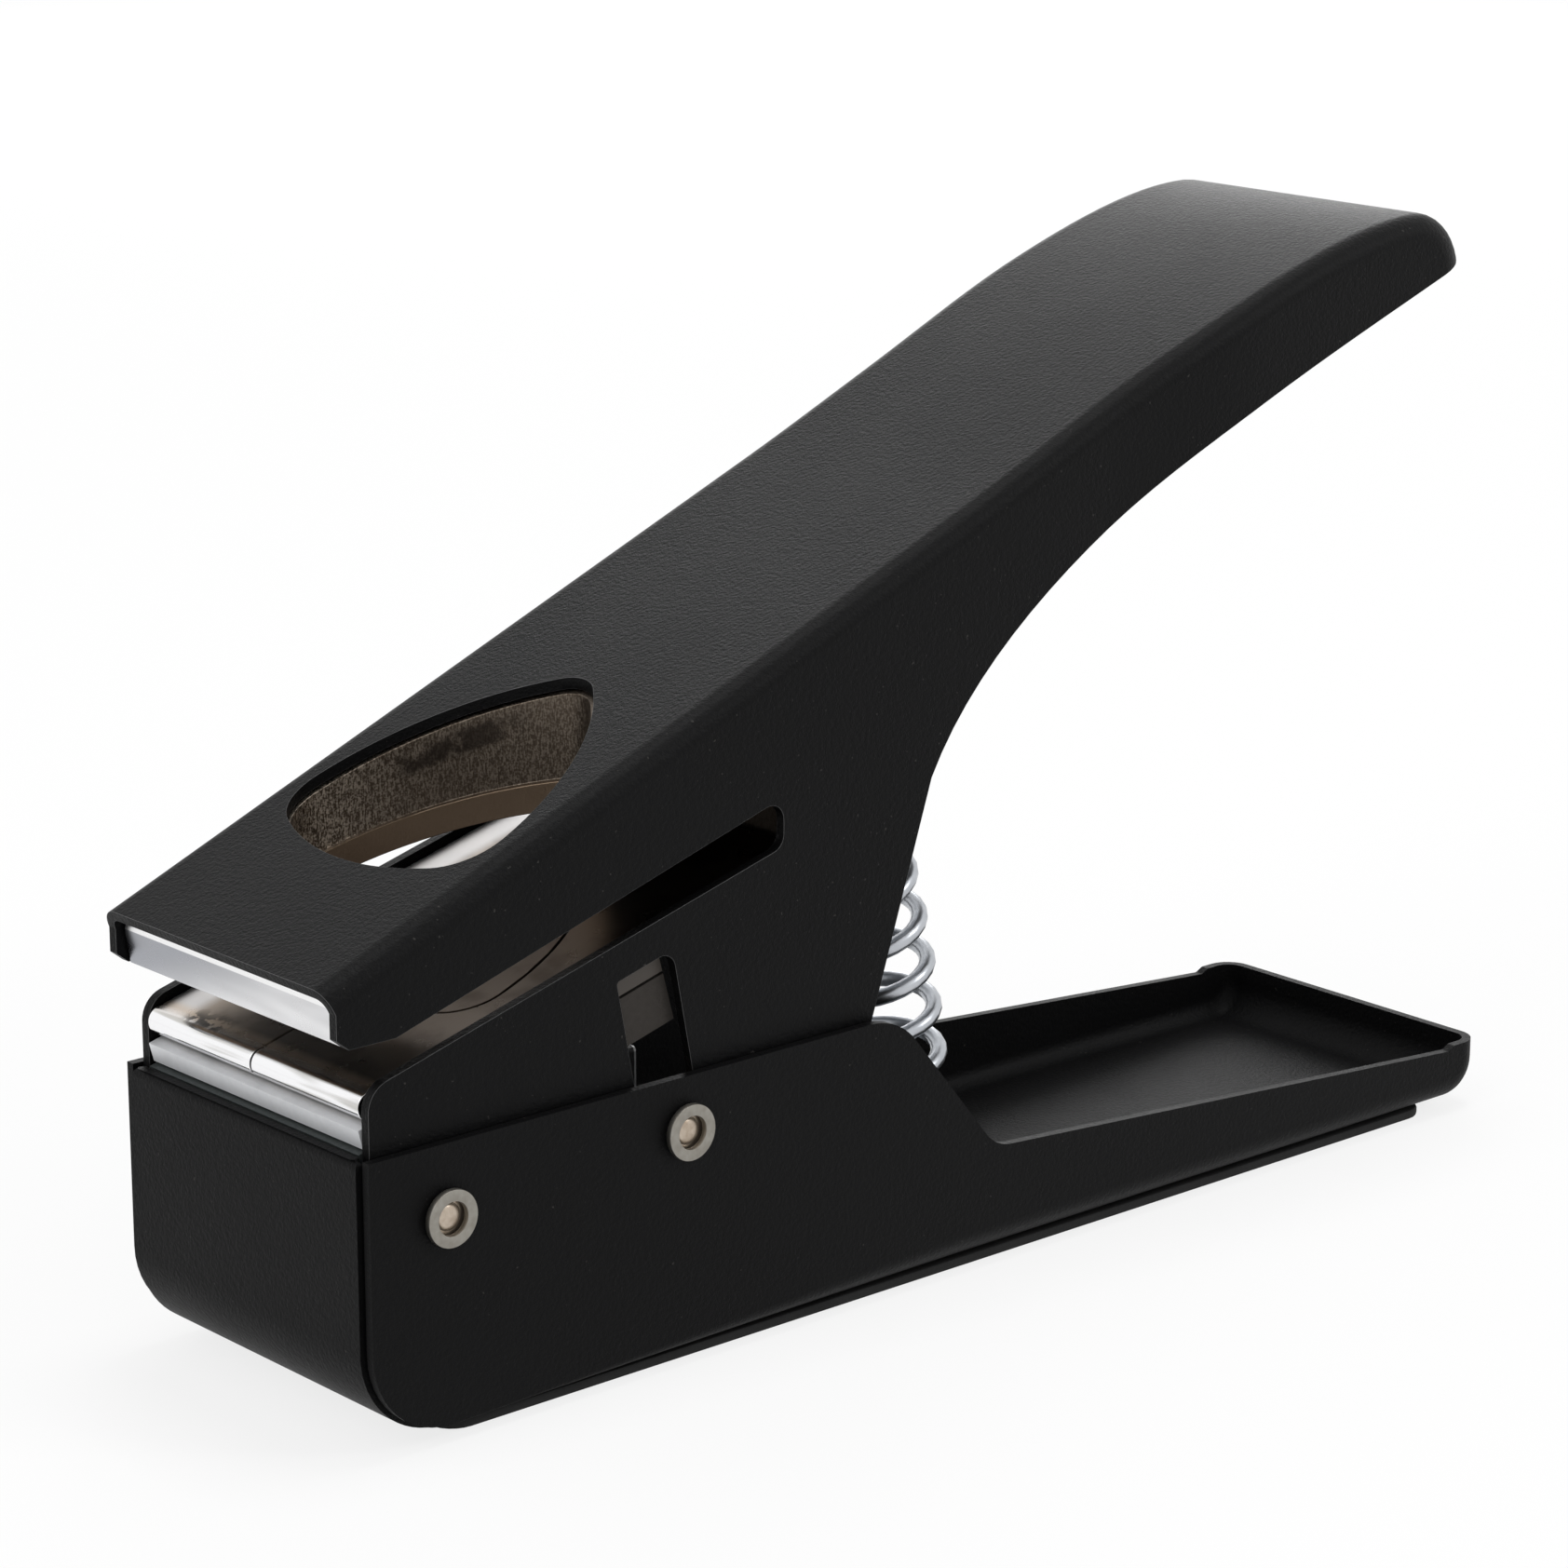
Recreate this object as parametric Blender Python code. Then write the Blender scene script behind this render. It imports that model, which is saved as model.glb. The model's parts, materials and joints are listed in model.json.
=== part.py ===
"""Guitar pick punch: a hand tool with a folded sheet base, a stamped lever handle, a pick-shaped
punch held by the rear pin, and a return spring. Metres, +Z up. The jaws face -X and the lever
end faces +X. Places are first given from the front face of the base, at x = 0, on the table, and
one empty moves the whole tool so that its box is centred on the origin.
"""
import math

import bmesh
import bpy
from mathutils import Matrix, Vector

MM = 0.001

# Fits and cuts
CLEARANCE = 0.3 * MM
OVERRUN = 5.0 * MM
FAR_OVERRUN = 70.0 * MM
ARC_STEPS = 6
ROUND_STEPS = 24

# Base: one folded and drawn sheet with a front flap, high side walls and a shallow tray
BASE_LENGTH = 158.6 * MM
BASE_WIDTH = 40.0 * MM
BASE_WALL = 1.0 * MM
BASE_BEND = 4.0 * MM
FLAP_BEND = 9.5 * MM
FLAP_SLIT = 0.4 * MM
FLAP_CORNER = 1.0 * MM
TRAY_CORNER = 4.8 * MM
TRAY_EASE = 0.6 * MM
WALL_HEIGHT = 28.9 * MM
SHOULDER_X = 67.3 * MM
SHOULDER_RADIUS = 8.0 * MM
SLOPE_ANGLE = math.radians(51.0)
SLOPE_FOOT_HEIGHT = 12.25 * MM
SLOPE_FOOT_RADIUS = 5.0 * MM
RIM_FALL = math.radians(4.55)
REAR_STEP_INSET = 6.3 * MM
REAR_STEP_RISE = 0.5 * MM
REAR_STEP_RUN = 1.0 * MM

# Rubber mat under the base
MAT_THICKNESS = 1.1 * MM
MAT_FRONT_INSET = 8.0 * MM
MAT_REAR_INSET = 6.6 * MM
MAT_SIDE_INSET = 2.0 * MM
MAT_CORNER = 3.0 * MM

# Pins, with a collar on each end
PIN_RADIUS = 2.0 * MM
PIN_END_RADIUS = 1.42 * MM
PIN_END_HEIGHT = 0.55 * MM
COLLAR_RADIUS = 2.9 * MM
COLLAR_PROUD = 1.0 * MM
COLLAR_BEVEL = 0.12 * MM
TUBE_WALL = 0.7 * MM
FRONT_PIN_X = 9.5 * MM
FRONT_PIN_HEIGHT = 23.0 * MM
PIN_SPACING = 29.55 * MM
PIN_RISE = 1.7 * MM

# Lower jaw: two guides, their support plate and the guide block, square to one sloping plane
HANDLE_THROW = math.radians(15.0)
GUIDE_ANGLE = math.radians(15.19)
GUIDE_THICKNESS = 2.8 * MM
GUIDE_LENGTH = 56.0 * MM
SUPPORT_THICKNESS = 2.0 * MM
BLOCK_THICKNESS = 5.1 * MM
BLOCK_LENGTH = 37.3 * MM
TUBE_TO_BLOCK = 1.1 * MM
SCREW_RADIUS = 1.1 * MM
SCREW_HEAD_RADIUS = 1.9 * MM
SCREW_HEAD_HEIGHT = 1.0 * MM
SCREW_RECESS = 0.3 * MM
SCREW_ROOF = 0.9 * MM
SCREW_FRONT_U = 5.5 * MM
SCREW_FRONT_Y = 11.0 * MM
SCREW_REAR_U = 33.0 * MM
SCREW_REAR_Y = 13.2 * MM

# Pick outline, seen from above: front arc, shoulders, long sides and tip
PICK_FRONT_X = 12.2 * MM
PICK_TIP_X = 42.7 * MM
PICK_HALF_WIDTH = 15.1 * MM
PICK_FRONT_RADIUS = 29.0 * MM
PICK_SHOULDER_RADIUS = 6.0 * MM
PICK_SIDE_RADIUS = 30.0 * MM
PICK_TIP_RADIUS = 4.5 * MM
DIE_EDGE_INSET = 0.85 * MM
DIE_EDGE_HEIGHT = 3.0 * MM

# Upper jaw
MOUTH_X = 4.9 * MM
MOUTH_GAP = 4.5 * MM
DIE_ANGLE = math.radians(16.8)
DIE_FRONT_INSET = 0.1 * MM
STOP_THICKNESS = 1.5 * MM
DIE_EDGE_BEVEL = 1.3 * MM
DIE_NOSE_BEVEL = 0.8 * MM

# Handle: one stamped sheet channel
SHEET = 1.1 * MM
SHEET_BEND = 2.3 * MM
NOSE_OVERHANG = 2.8 * MM
NOSE_FOOT = 0.5 * MM
NOSE_HEIGHT = 5.83 * MM
TOP_ANGLE = math.radians(22.54)
TOP_STRAIGHT = 82.5 * MM
END_RUN = 67.9 * MM
END_RISE = 22.95 * MM
END_HANDLE_A = 18.5 * MM
END_HANDLE_B = 16.7 * MM
END_RADIUS = 4.8 * MM
END_CORNER = 4.5 * MM
END_DROP = 8.0 * MM
FLARE = 0.9 * MM
FLARE_START_RUN = 99.6 * MM
FLARE_LENGTH = 22.6 * MM
KINK_RUN = 75.65 * MM
KINK_RISE = 7.1 * MM
THROAT_RUN = 152.75 * MM
THROAT_RISE = 51.2 * MM
THROAT_ANGLE_A = math.radians(62.2)
THROAT_ANGLE_B = math.radians(20.6)
THROAT_HANDLE = 25.2 * MM
SLOT_LIP = 0.87 * MM
SLOT_END_X = 52.9 * MM
SLOT_END_RADIUS = 1.7 * MM
SLOT_FRONT_RADIUS = 3.0 * MM
EAR_RADIUS = 8.0 * MM
HEEL_RUN = 53.5 * MM
HEEL_RISE = 1.8 * MM
HEEL_RADIUS = 3.0 * MM
NOTCH_FRONT_GAP = 2.4 * MM
NOTCH_REAR_GAP = 0.9 * MM
NOTCH_ROOF = 3.8 * MM
NOTCH_FLOOR = 4.8 * MM
NOTCH_TOP_RADIUS = 1.6 * MM
NOTCH_TOP_FRONT_RADIUS = 0.4 * MM
NOTCH_FOOT_RADIUS = 2.2 * MM

# Punch and the carrier that the rear pin holds
CARRIER_FRONT_X = 15.0 * MM
CARRIER_REAR_WALL = 3.1 * MM
CARRIER_HALF_WIDTH = 6.0 * MM
CARRIER_WALL_BELOW = 1.7 * MM
CARRIER_WALL_ABOVE = 1.8 * MM
CARRIER_BEVEL = 0.5 * MM
CHANNEL_CLEARANCE = 0.6 * MM
CHANNEL_FRONT_X = 30.0 * MM
PUNCH_SCREW_FRONT_X = 20.0 * MM
PUNCH_SCREW_REAR_X = 30.0 * MM
PUNCH_SCREW_DEPTH = 5.0 * MM

# Return spring, on a curved axis from the base floor to the underside of the handle
WIRE_RADIUS = 0.8 * MM
COIL_RADIUS = 5.2 * MM
COIL_PITCH = 4.8 * MM
COIL_POINTS = 10
END_BEND_STEPS = 3
SPRING_X = 86.8 * MM
SPRING_SEAT_RUN = 68.0 * MM
SPRING_HANDLE = 30.0 * MM
BOSS_CLEARANCE = 0.6 * MM
BOSS_HEIGHT = 6.0 * MM
BOSS_BEVEL = 0.5 * MM

# Sizes worked out from the ones above
TOP_DIRECTION = Vector((math.cos(TOP_ANGLE), math.sin(TOP_ANGLE)))
TOP_NORMAL = Vector((-math.sin(TOP_ANGLE), math.cos(TOP_ANGLE)))
GUIDE_SLOPE = math.tan(GUIDE_ANGLE)
DIE_SLOPE = math.tan(DIE_ANGLE)
BASE_UNDERSIDE = MAT_THICKNESS + CLEARANCE
FLOOR_TOP = BASE_UNDERSIDE + BASE_WALL
WALL_TOP = BASE_UNDERSIDE + WALL_HEIGHT
BASE_HALF = BASE_WIDTH / 2
HANDLE_HALF = BASE_HALF - BASE_WALL - CLEARANCE
JAW_HALF = HANDLE_HALF - SHEET - CLEARANCE
FRONT_PIN = Vector((FRONT_PIN_X, FRONT_PIN_HEIGHT))
REAR_PIN = FRONT_PIN + Vector((PIN_SPACING, PIN_RISE))
PIN_HOLE_RADIUS = PIN_RADIUS + CLEARANCE
TUBE_RADIUS = PIN_HOLE_RADIUS + TUBE_WALL
STACK_THICKNESS = GUIDE_THICKNESS + SUPPORT_THICKNESS + BLOCK_THICKNESS + 2 * CLEARANCE
NOSE_ROUND = GUIDE_THICKNESS / 2
JAW_FRONT_X = BASE_WALL + CLEARANCE
SLEEVE_TO_TOP = STACK_THICKNESS + TUBE_RADIUS + TUBE_TO_BLOCK
JAW_X = JAW_FRONT_X - NOSE_ROUND * (math.cos(GUIDE_ANGLE) + math.sin(GUIDE_ANGLE) - 1)
JAW_RUN = FRONT_PIN.x - JAW_X
JAW_DROP = SLEEVE_TO_TOP - JAW_RUN * math.sin(GUIDE_ANGLE)
JAW_ORIGIN = Vector((JAW_X, FRONT_PIN.y + JAW_DROP / math.cos(GUIDE_ANGLE)))


def guide_top(x):
    """Height of the lower jaw's sloping top face."""
    return JAW_ORIGIN.y + GUIDE_SLOPE * (x - JAW_ORIGIN.x)


def slot_floor(x):
    """Height of the lower edge of the card slot in the handle's sides."""
    return guide_top(x) + SLOT_LIP / math.cos(GUIDE_ANGLE)


MOUTH_HEIGHT = guide_top(MOUTH_X) + MOUTH_GAP


def die_bottom(x):
    """Height of the upper jaw's sloping under face, behind its flat front."""
    return MOUTH_HEIGHT + DIE_SLOPE * (x - MOUTH_X)


NOSE = Vector((-NOSE_OVERHANG, MOUTH_HEIGHT + NOSE_HEIGHT))


def turned_about_front_pin(point, angle):
    """Place of a base point, as seen from a handle pressed down by an angle."""
    arm = point - FRONT_PIN
    across = arm.x * math.cos(angle) - arm.y * math.sin(angle)
    up = arm.x * math.sin(angle) + arm.y * math.cos(angle)
    return FRONT_PIN + Vector((across, up))


REAR_PIN_PRESSED = turned_about_front_pin(REAR_PIN, HANDLE_THROW)
GUIDE_END = JAW_ORIGIN + Vector((
    GUIDE_LENGTH * math.cos(GUIDE_ANGLE) + GUIDE_THICKNESS * math.sin(GUIDE_ANGLE),
    GUIDE_LENGTH * math.sin(GUIDE_ANGLE) - GUIDE_THICKNESS * math.cos(GUIDE_ANGLE)))
STOP_X = GUIDE_END.x + CLEARANCE
DIE_REAR_X = STOP_X + STOP_THICKNESS
CARRIER_TOP = REAR_PIN.y + PIN_HOLE_RADIUS + CARRIER_WALL_ABOVE
CARRIER_BOTTOM = REAR_PIN.y - PIN_HOLE_RADIUS - CARRIER_WALL_BELOW
PUNCH_BOTTOM = CARRIER_TOP + CLEARANCE
TOOL_CENTRE_X = (BASE_LENGTH - NOSE_OVERHANG) / 2


def arc(centre, radius, start, end, steps=ARC_STEPS):
    """Points on an arc, both ends included. Angles are in degrees."""
    points = []
    for step in range(steps + 1):
        angle = math.radians(start + (end - start) * step / steps)
        points.append(centre + radius * Vector((math.cos(angle), math.sin(angle))))
    return points


def bezier(start, start_handle, end_handle, end, steps):
    """Points on a cubic curve, both ends included."""
    points = []
    for step in range(steps + 1):
        t = step / steps
        s = 1 - t
        points.append(s**3 * start + 3 * s * s * t * start_handle
                      + 3 * s * t * t * end_handle + t**3 * end)
    return points


def direction(angle):
    return Vector((math.cos(angle), math.sin(angle)))


def rounded(corners):
    """Closed outline from (x, z, radius) corners, each rounded by its radius."""
    outline = []
    count = len(corners)
    for index, (x, z, radius) in enumerate(corners):
        corner = Vector((x, z))
        if radius == 0:
            outline.append(corner)
            continue
        before = Vector(corners[index - 1][:2]) - corner
        after = Vector(corners[(index + 1) % count][:2]) - corner
        half_angle = before.angle(after) / 2
        reach = min(radius / math.tan(half_angle), before.length / 2, after.length / 2)
        radius = reach * math.tan(half_angle)
        middle = (before.normalized() + after.normalized()).normalized()
        centre = corner + middle * radius / math.sin(half_angle)
        start = corner + before.normalized() * reach - centre
        turn = start.angle_signed(corner + after.normalized() * reach - centre)
        for step in range(ARC_STEPS + 1):
            outline.append(centre + Matrix.Rotation(-turn * step / ARC_STEPS, 2) @ start)
    return outline


def pick_outline(inset):
    """The pick's outline in plan, drawn in by an inset, as arcs that meet smoothly."""
    front = Vector((PICK_FRONT_X + PICK_FRONT_RADIUS, 0))
    tip = Vector((PICK_TIP_X - PICK_TIP_RADIUS, 0))
    shoulder_y = PICK_HALF_WIDTH - PICK_SHOULDER_RADIUS
    shoulder_reach = PICK_FRONT_RADIUS - PICK_SHOULDER_RADIUS
    shoulder_x = front.x - math.sqrt(shoulder_reach**2 - shoulder_y**2)
    shoulder = Vector((shoulder_x, shoulder_y))
    to_shoulder = PICK_SIDE_RADIUS - PICK_SHOULDER_RADIUS
    to_tip = PICK_SIDE_RADIUS - PICK_TIP_RADIUS
    line = tip - shoulder
    along = (to_shoulder**2 - to_tip**2 + line.length_squared) / (2 * line.length)
    across = math.sqrt(to_shoulder**2 - along**2)
    line.normalize()
    side = shoulder + along * line + across * Vector((line.y, -line.x))

    def angle_from(centre, point):
        offset = point - centre
        return math.degrees(math.atan2(offset.y, offset.x))

    front_turn = angle_from(front, shoulder)
    side_turn = angle_from(side, shoulder)
    tip_turn = angle_from(side, tip)
    half = arc(front, PICK_FRONT_RADIUS - inset, 180, front_turn)
    half += arc(shoulder, PICK_SHOULDER_RADIUS - inset, front_turn, side_turn)[1:]
    half += arc(side, PICK_SIDE_RADIUS - inset, side_turn, tip_turn)[1:]
    half += arc(tip, PICK_TIP_RADIUS - inset, tip_turn, 0)[1:]
    return half + [Vector((p.x, -p.y)) for p in reversed(half[1:-1])]


def finish_mesh(shape, name):
    """Make a mesh of a bmesh, with its faces pointing out and round faces smooth."""
    bmesh.ops.recalc_face_normals(shape, faces=shape.faces)
    mesh = bpy.data.meshes.new(name)
    shape.to_mesh(mesh)
    shape.free()
    mesh.shade_smooth()
    mesh.set_sharp_from_angle(angle=math.radians(32))
    return mesh


def pushed(name, outline, offset):
    """A closed solid: a flat 3-D outline pushed through an offset."""
    shape = bmesh.new()
    face = shape.faces.new([shape.verts.new(point) for point in outline])
    moved = bmesh.ops.extrude_face_region(shape, geom=[face])["geom"]
    moved_points = [item for item in moved if isinstance(item, bmesh.types.BMVert)]
    bmesh.ops.translate(shape, verts=moved_points, vec=offset)
    return finish_mesh(shape, name)


def side_plate(name, outline, half_width):
    """A side view outline pushed across the tool, as wide on each side."""
    points = [(p.x, -half_width, p.y) for p in outline]
    return pushed(name, points, Vector((0, 2 * half_width, 0)))


def standing_prism(name, outline, low, high):
    """A plan outline standing up, between two heights that may vary along x."""
    shape = bmesh.new()
    bottom = [shape.verts.new((p.x, p.y, low(p.x))) for p in outline]
    top = [shape.verts.new((p.x, p.y, high(p.x))) for p in outline]
    shape.faces.new(bottom)
    shape.faces.new(top)
    for index in range(len(outline)):
        shape.faces.new((bottom[index - 1], bottom[index], top[index], top[index - 1]))
    return finish_mesh(shape, name)


def turned(name, profile, closed=False):
    """A (radius, along) profile turned once round the Y axis."""
    shape = bmesh.new()
    points = [shape.verts.new((radius, along, 0)) for radius, along in profile]
    edges = [shape.edges.new(pair) for pair in zip(points, points[1:])]
    if closed:
        edges.append(shape.edges.new((points[-1], points[0])))
    bmesh.ops.spin(shape, geom=points + edges, cent=(0, 0, 0), axis=(0, 1, 0), dvec=(0, 0, 0),
                   angle=math.tau, steps=ROUND_STEPS)
    bmesh.ops.remove_doubles(shape, verts=shape.verts, dist=CLEARANCE / 1000)
    return finish_mesh(shape, name)


def material(name, colour, roughness, metallic):
    """A material with one Principled shader."""
    finish = bpy.data.materials.new(name)
    finish.use_nodes = True
    shader = finish.node_tree.nodes["Principled BSDF"]
    shader.inputs["Base Color"].default_value = (*colour, 1)
    shader.inputs["Roughness"].default_value = roughness
    shader.inputs["Metallic"].default_value = metallic
    return finish


def empty(name, parent, place, turn=0):
    """A joint or assembly frame."""
    item = bpy.data.objects.new(name, None)
    bpy.context.scene.collection.objects.link(item)
    item.parent = parent
    item.location = place
    item.rotation_euler = (0, turn, 0)
    return item


def piece(name, mesh, parent, finish):
    """One named piece. Its mesh is drawn round its parent's place."""
    item = bpy.data.objects.new(name, mesh)
    bpy.context.scene.collection.objects.link(item)
    item.parent = parent
    mesh.name = name
    if finish:
        mesh.materials.append(finish)
    return item


def shifted(mesh, offset):
    """A mesh moved in its own frame."""
    mesh.transform(Matrix.Translation(offset))
    return mesh


def cut(target, mesh, operation="DIFFERENCE", parent=None):
    """Cut a piece by a hidden cutter, drawn in the piece's frame or another's."""
    cutter = piece("cutter_" + mesh.name, mesh, parent or target.parent, None)
    cutter.hide_render = True
    cutter.display_type = "WIRE"
    boolean = target.modifiers.new(cutter.name, "BOOLEAN")
    boolean.operation = operation
    boolean.solver = "EXACT"
    boolean.object = cutter


def soften(target, width, angle=math.radians(40)):
    """A small bevel on a piece's sharp edges."""
    bevel = target.modifiers.new("edge", "BEVEL")
    bevel.width = width
    bevel.segments = 2
    bevel.limit_method = "ANGLE"
    bevel.angle_limit = angle


def from_pivot(mesh):
    """Move a mesh drawn from the base's front face into the frame of the front pin."""
    return shifted(mesh, Vector((-FRONT_PIN.x, 0, -FRONT_PIN.y)))


def bent_ring(point, normal, half_width, bend):
    """Cross-section of a channel at one point of its side view: a flat with two bent edges."""
    ring = []
    for turn in arc(Vector((0, 0)), bend, 90, 0):
        offset = point - normal * (bend - turn.x)
        ring.append(Vector((offset.x, -(half_width - bend + turn.y), offset.y)))
    return ring + [Vector((p.x, -p.y, p.z)) for p in reversed(ring)]


def path_normals(path):
    """Left-hand normals of a side-view path, averaged at its points."""
    normals = []
    for index in range(len(path)):
        before = path[max(index - 1, 0)]
        after = path[min(index + 1, len(path) - 1)]
        along = (after - before).normalized()
        normals.append(Vector((-along.y, along.x)))
    return normals


def bent_skin(shape, rings):
    """Rows of points, with faces from each cross-section to the next."""
    rows = [[shape.verts.new(point) for point in ring] for ring in rings]
    for before, after in zip(rows, rows[1:]):
        for index in range(len(before) - 1):
            shape.faces.new((before[index], before[index + 1], after[index + 1], after[index]))
    return rows


def sheet_metal(item, thickness):
    """Give a surface its sheet thickness, inwards."""
    solid = item.modifiers.new("sheet", "SOLIDIFY")
    solid.thickness = thickness
    solid.offset = -1
    solid.use_even_offset = True


def rim_height(x):
    """Height of the tray's rim, which falls towards the rear."""
    return BASE_UNDERSIDE + SLOPE_FOOT_HEIGHT - math.tan(RIM_FALL) * (x - SHOULDER_X)


def base_trim():
    """Outline of what is cut away above the walls' slope and the tray's rim."""
    shoulder = Vector((SHOULDER_X, WALL_TOP))
    fall = math.tan(SLOPE_ANGLE)
    foot_run = (WALL_TOP - rim_height(SHOULDER_X)) / (fall - math.tan(RIM_FALL))
    foot_x = SHOULDER_X + foot_run
    step_x = BASE_LENGTH - REAR_STEP_INSET
    step_top = rim_height(step_x) + REAR_STEP_RISE
    step_end = step_x + REAR_STEP_RUN
    beyond = BASE_LENGTH + OVERRUN
    above = WALL_TOP + OVERRUN
    tail = shoulder.x - SHOULDER_RADIUS
    return rounded([
        (tail, above, 0),
        (tail, WALL_TOP, 0),
        (shoulder.x, shoulder.y, SHOULDER_RADIUS),
        (foot_x, rim_height(foot_x), SLOPE_FOOT_RADIUS),
        (step_x, rim_height(step_x), REAR_STEP_RISE),
        (step_end, step_top, REAR_STEP_RISE),
        (beyond, step_top, 0),
        (beyond, above, 0),
    ])


def flap_rings():
    """Flat cross-sections of the flap, from its rounded top down its bend to the floor."""
    inner = BASE_HALF - BASE_BEND
    rings = []
    corner = arc(Vector((BASE_HALF - FLAP_CORNER, WALL_TOP - FLAP_CORNER)), FLAP_CORNER, 90, 0)
    path = [(Vector((0, p.y)), p.x) for p in corner[1:]]
    centre = Vector((FLAP_BEND, BASE_UNDERSIDE + FLAP_BEND))
    bend = arc(centre, FLAP_BEND, 180, 270, 2 * ARC_STEPS)
    path += [(point, BASE_HALF) for point in bend]
    for point, half in path:
        rings.append([Vector((point.x, y, point.y)) for y in (-half, -inner, inner, half)])
    return rings


def make_base(tool, finish):
    """The base sheet: flap, floor, side walls and drawn tray end."""
    shape = bmesh.new()
    flap = bent_skin(shape, flap_rings())

    rear_bend = TRAY_CORNER + TRAY_EASE
    rear_centre = Vector((BASE_LENGTH - rear_bend, BASE_UNDERSIDE + rear_bend))
    path = [Vector((FLAP_BEND, BASE_UNDERSIDE)), Vector((rear_centre.x / 2, BASE_UNDERSIDE))]
    path += arc(rear_centre, rear_bend, 270, 360)
    path.append(Vector((BASE_LENGTH, WALL_TOP)))
    bends = [BASE_BEND] * 2
    for step in range(ARC_STEPS + 1):
        bends.append(BASE_BEND + (TRAY_CORNER - BASE_BEND) * step / ARC_STEPS)
    bends.append(TRAY_CORNER)
    normals = [Vector((0, -1))] * 2
    normals += [direction(math.radians(270 + 90 * step / ARC_STEPS))
                for step in range(ARC_STEPS + 1)]
    normals.append(Vector((1, 0)))
    rings = [bent_ring(point, normal, BASE_HALF, bend)
             for point, normal, bend in zip(path, normals, bends)]

    front_x = BASE_WALL + FLAP_SLIT
    toe_radius = FLAP_BEND - front_x
    toe_centre = Vector((FLAP_BEND, BASE_UNDERSIDE + FLAP_BEND))
    toe = arc(toe_centre, toe_radius, 180, 270)
    rows = bent_skin(shape, rings)
    for side, half in ((0, -BASE_HALF), (-1, BASE_HALF)):
        front = [shape.verts.new((p.x, half, p.y)) for p in [Vector((front_x, WALL_TOP))] + toe]
        shape.faces.new([row[side] for row in rows] + front)

    flap_end = flap[-1]
    floor_start = rows[0]
    middle = len(floor_start) // 2
    bmesh.ops.pointmerge(shape, verts=[flap_end[1], floor_start[middle - 1]],
                         merge_co=flap_end[1].co)
    bmesh.ops.pointmerge(shape, verts=[flap_end[2], floor_start[middle]],
                         merge_co=flap_end[2].co)
    base = piece("base_shell", finish_mesh(shape, "base_shell"), tool, finish)
    sheet_metal(base, BASE_WALL)
    cut(base, side_plate("base_trim", base_trim(), BASE_HALF + OVERRUN))
    for name, pin in (("front", FRONT_PIN), ("rear", REAR_PIN)):
        hole = turned("base_" + name + "_hole", rod(PIN_HOLE_RADIUS, BASE_HALF + OVERRUN))
        cut(base, shifted(hole, Vector((pin.x, 0, pin.y))))
    return base


def rod(radius, half_length):
    """Profile of a plain rod, centred."""
    return [(0, -half_length), (radius, -half_length), (radius, half_length), (0, half_length)]


def make_mat(tool, finish):
    """The flat rubber mat that the tool stands on."""
    half = BASE_HALF - MAT_SIDE_INSET
    front = MAT_FRONT_INSET
    rear = BASE_LENGTH - MAT_REAR_INSET
    outline = rounded([(front, -half, MAT_CORNER), (rear, -half, MAT_CORNER),
                       (rear, half, MAT_CORNER), (front, half, MAT_CORNER)])
    mesh = standing_prism("nonslip_mat", outline, lambda x: 0, lambda x: MAT_THICKNESS)
    return piece("nonslip_mat", mesh, tool, finish)


def make_pin(name, tool, place, finish):
    """A pin whose domed ends stand inside the collars."""
    shoulder = BASE_HALF
    dome = []
    for point in arc(Vector((0, 0)), 1, 90, 0, 4):
        dome.append((PIN_END_RADIUS * point.y, shoulder + PIN_END_HEIGHT * point.x))
    half = [(PIN_RADIUS, shoulder)] + dome
    profile = [(radius, -along) for radius, along in reversed(half)] + half
    mesh = shifted(turned(name, profile), Vector((place.x, 0, place.y)))
    return piece(name, mesh, tool, finish)


def make_collar(name, tool, place, side, finish):
    """A ring pressed on one end of a pin, outside the wall."""
    bore = PIN_END_RADIUS + CLEARANCE
    inner = BASE_HALF + CLEARANCE
    outer = BASE_HALF + COLLAR_PROUD
    profile = [
        (bore, inner), (COLLAR_RADIUS, inner),
        (COLLAR_RADIUS, outer - COLLAR_BEVEL), (COLLAR_RADIUS - COLLAR_BEVEL, outer),
        (bore + COLLAR_BEVEL, outer), (bore, outer - COLLAR_BEVEL),
    ]
    profile = [(radius, side * along) for radius, along in profile]
    mesh = shifted(turned(name, profile, closed=True), Vector((place.x, 0, place.y)))
    return piece(name, mesh, tool, finish)


def make_tube(tool, finish):
    """The tube on the front pin that keeps the handle's ears apart."""
    half = JAW_HALF
    profile = [(PIN_HOLE_RADIUS, -half), (TUBE_RADIUS, -half),
               (TUBE_RADIUS, half), (PIN_HOLE_RADIUS, half)]
    mesh = shifted(turned("front_spacer_tube", profile, closed=True),
                   Vector((FRONT_PIN.x, 0, FRONT_PIN.y)))
    return piece("front_spacer_tube", mesh, tool, finish)


def flare(x):
    """How much wider the handle is at each side, from its straight front to its grip."""
    share = (x - NOSE.x - FLARE_START_RUN) / FLARE_LENGTH
    share = min(max(share, 0), 1)
    return FLARE * share * share * (3 - 2 * share)


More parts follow.
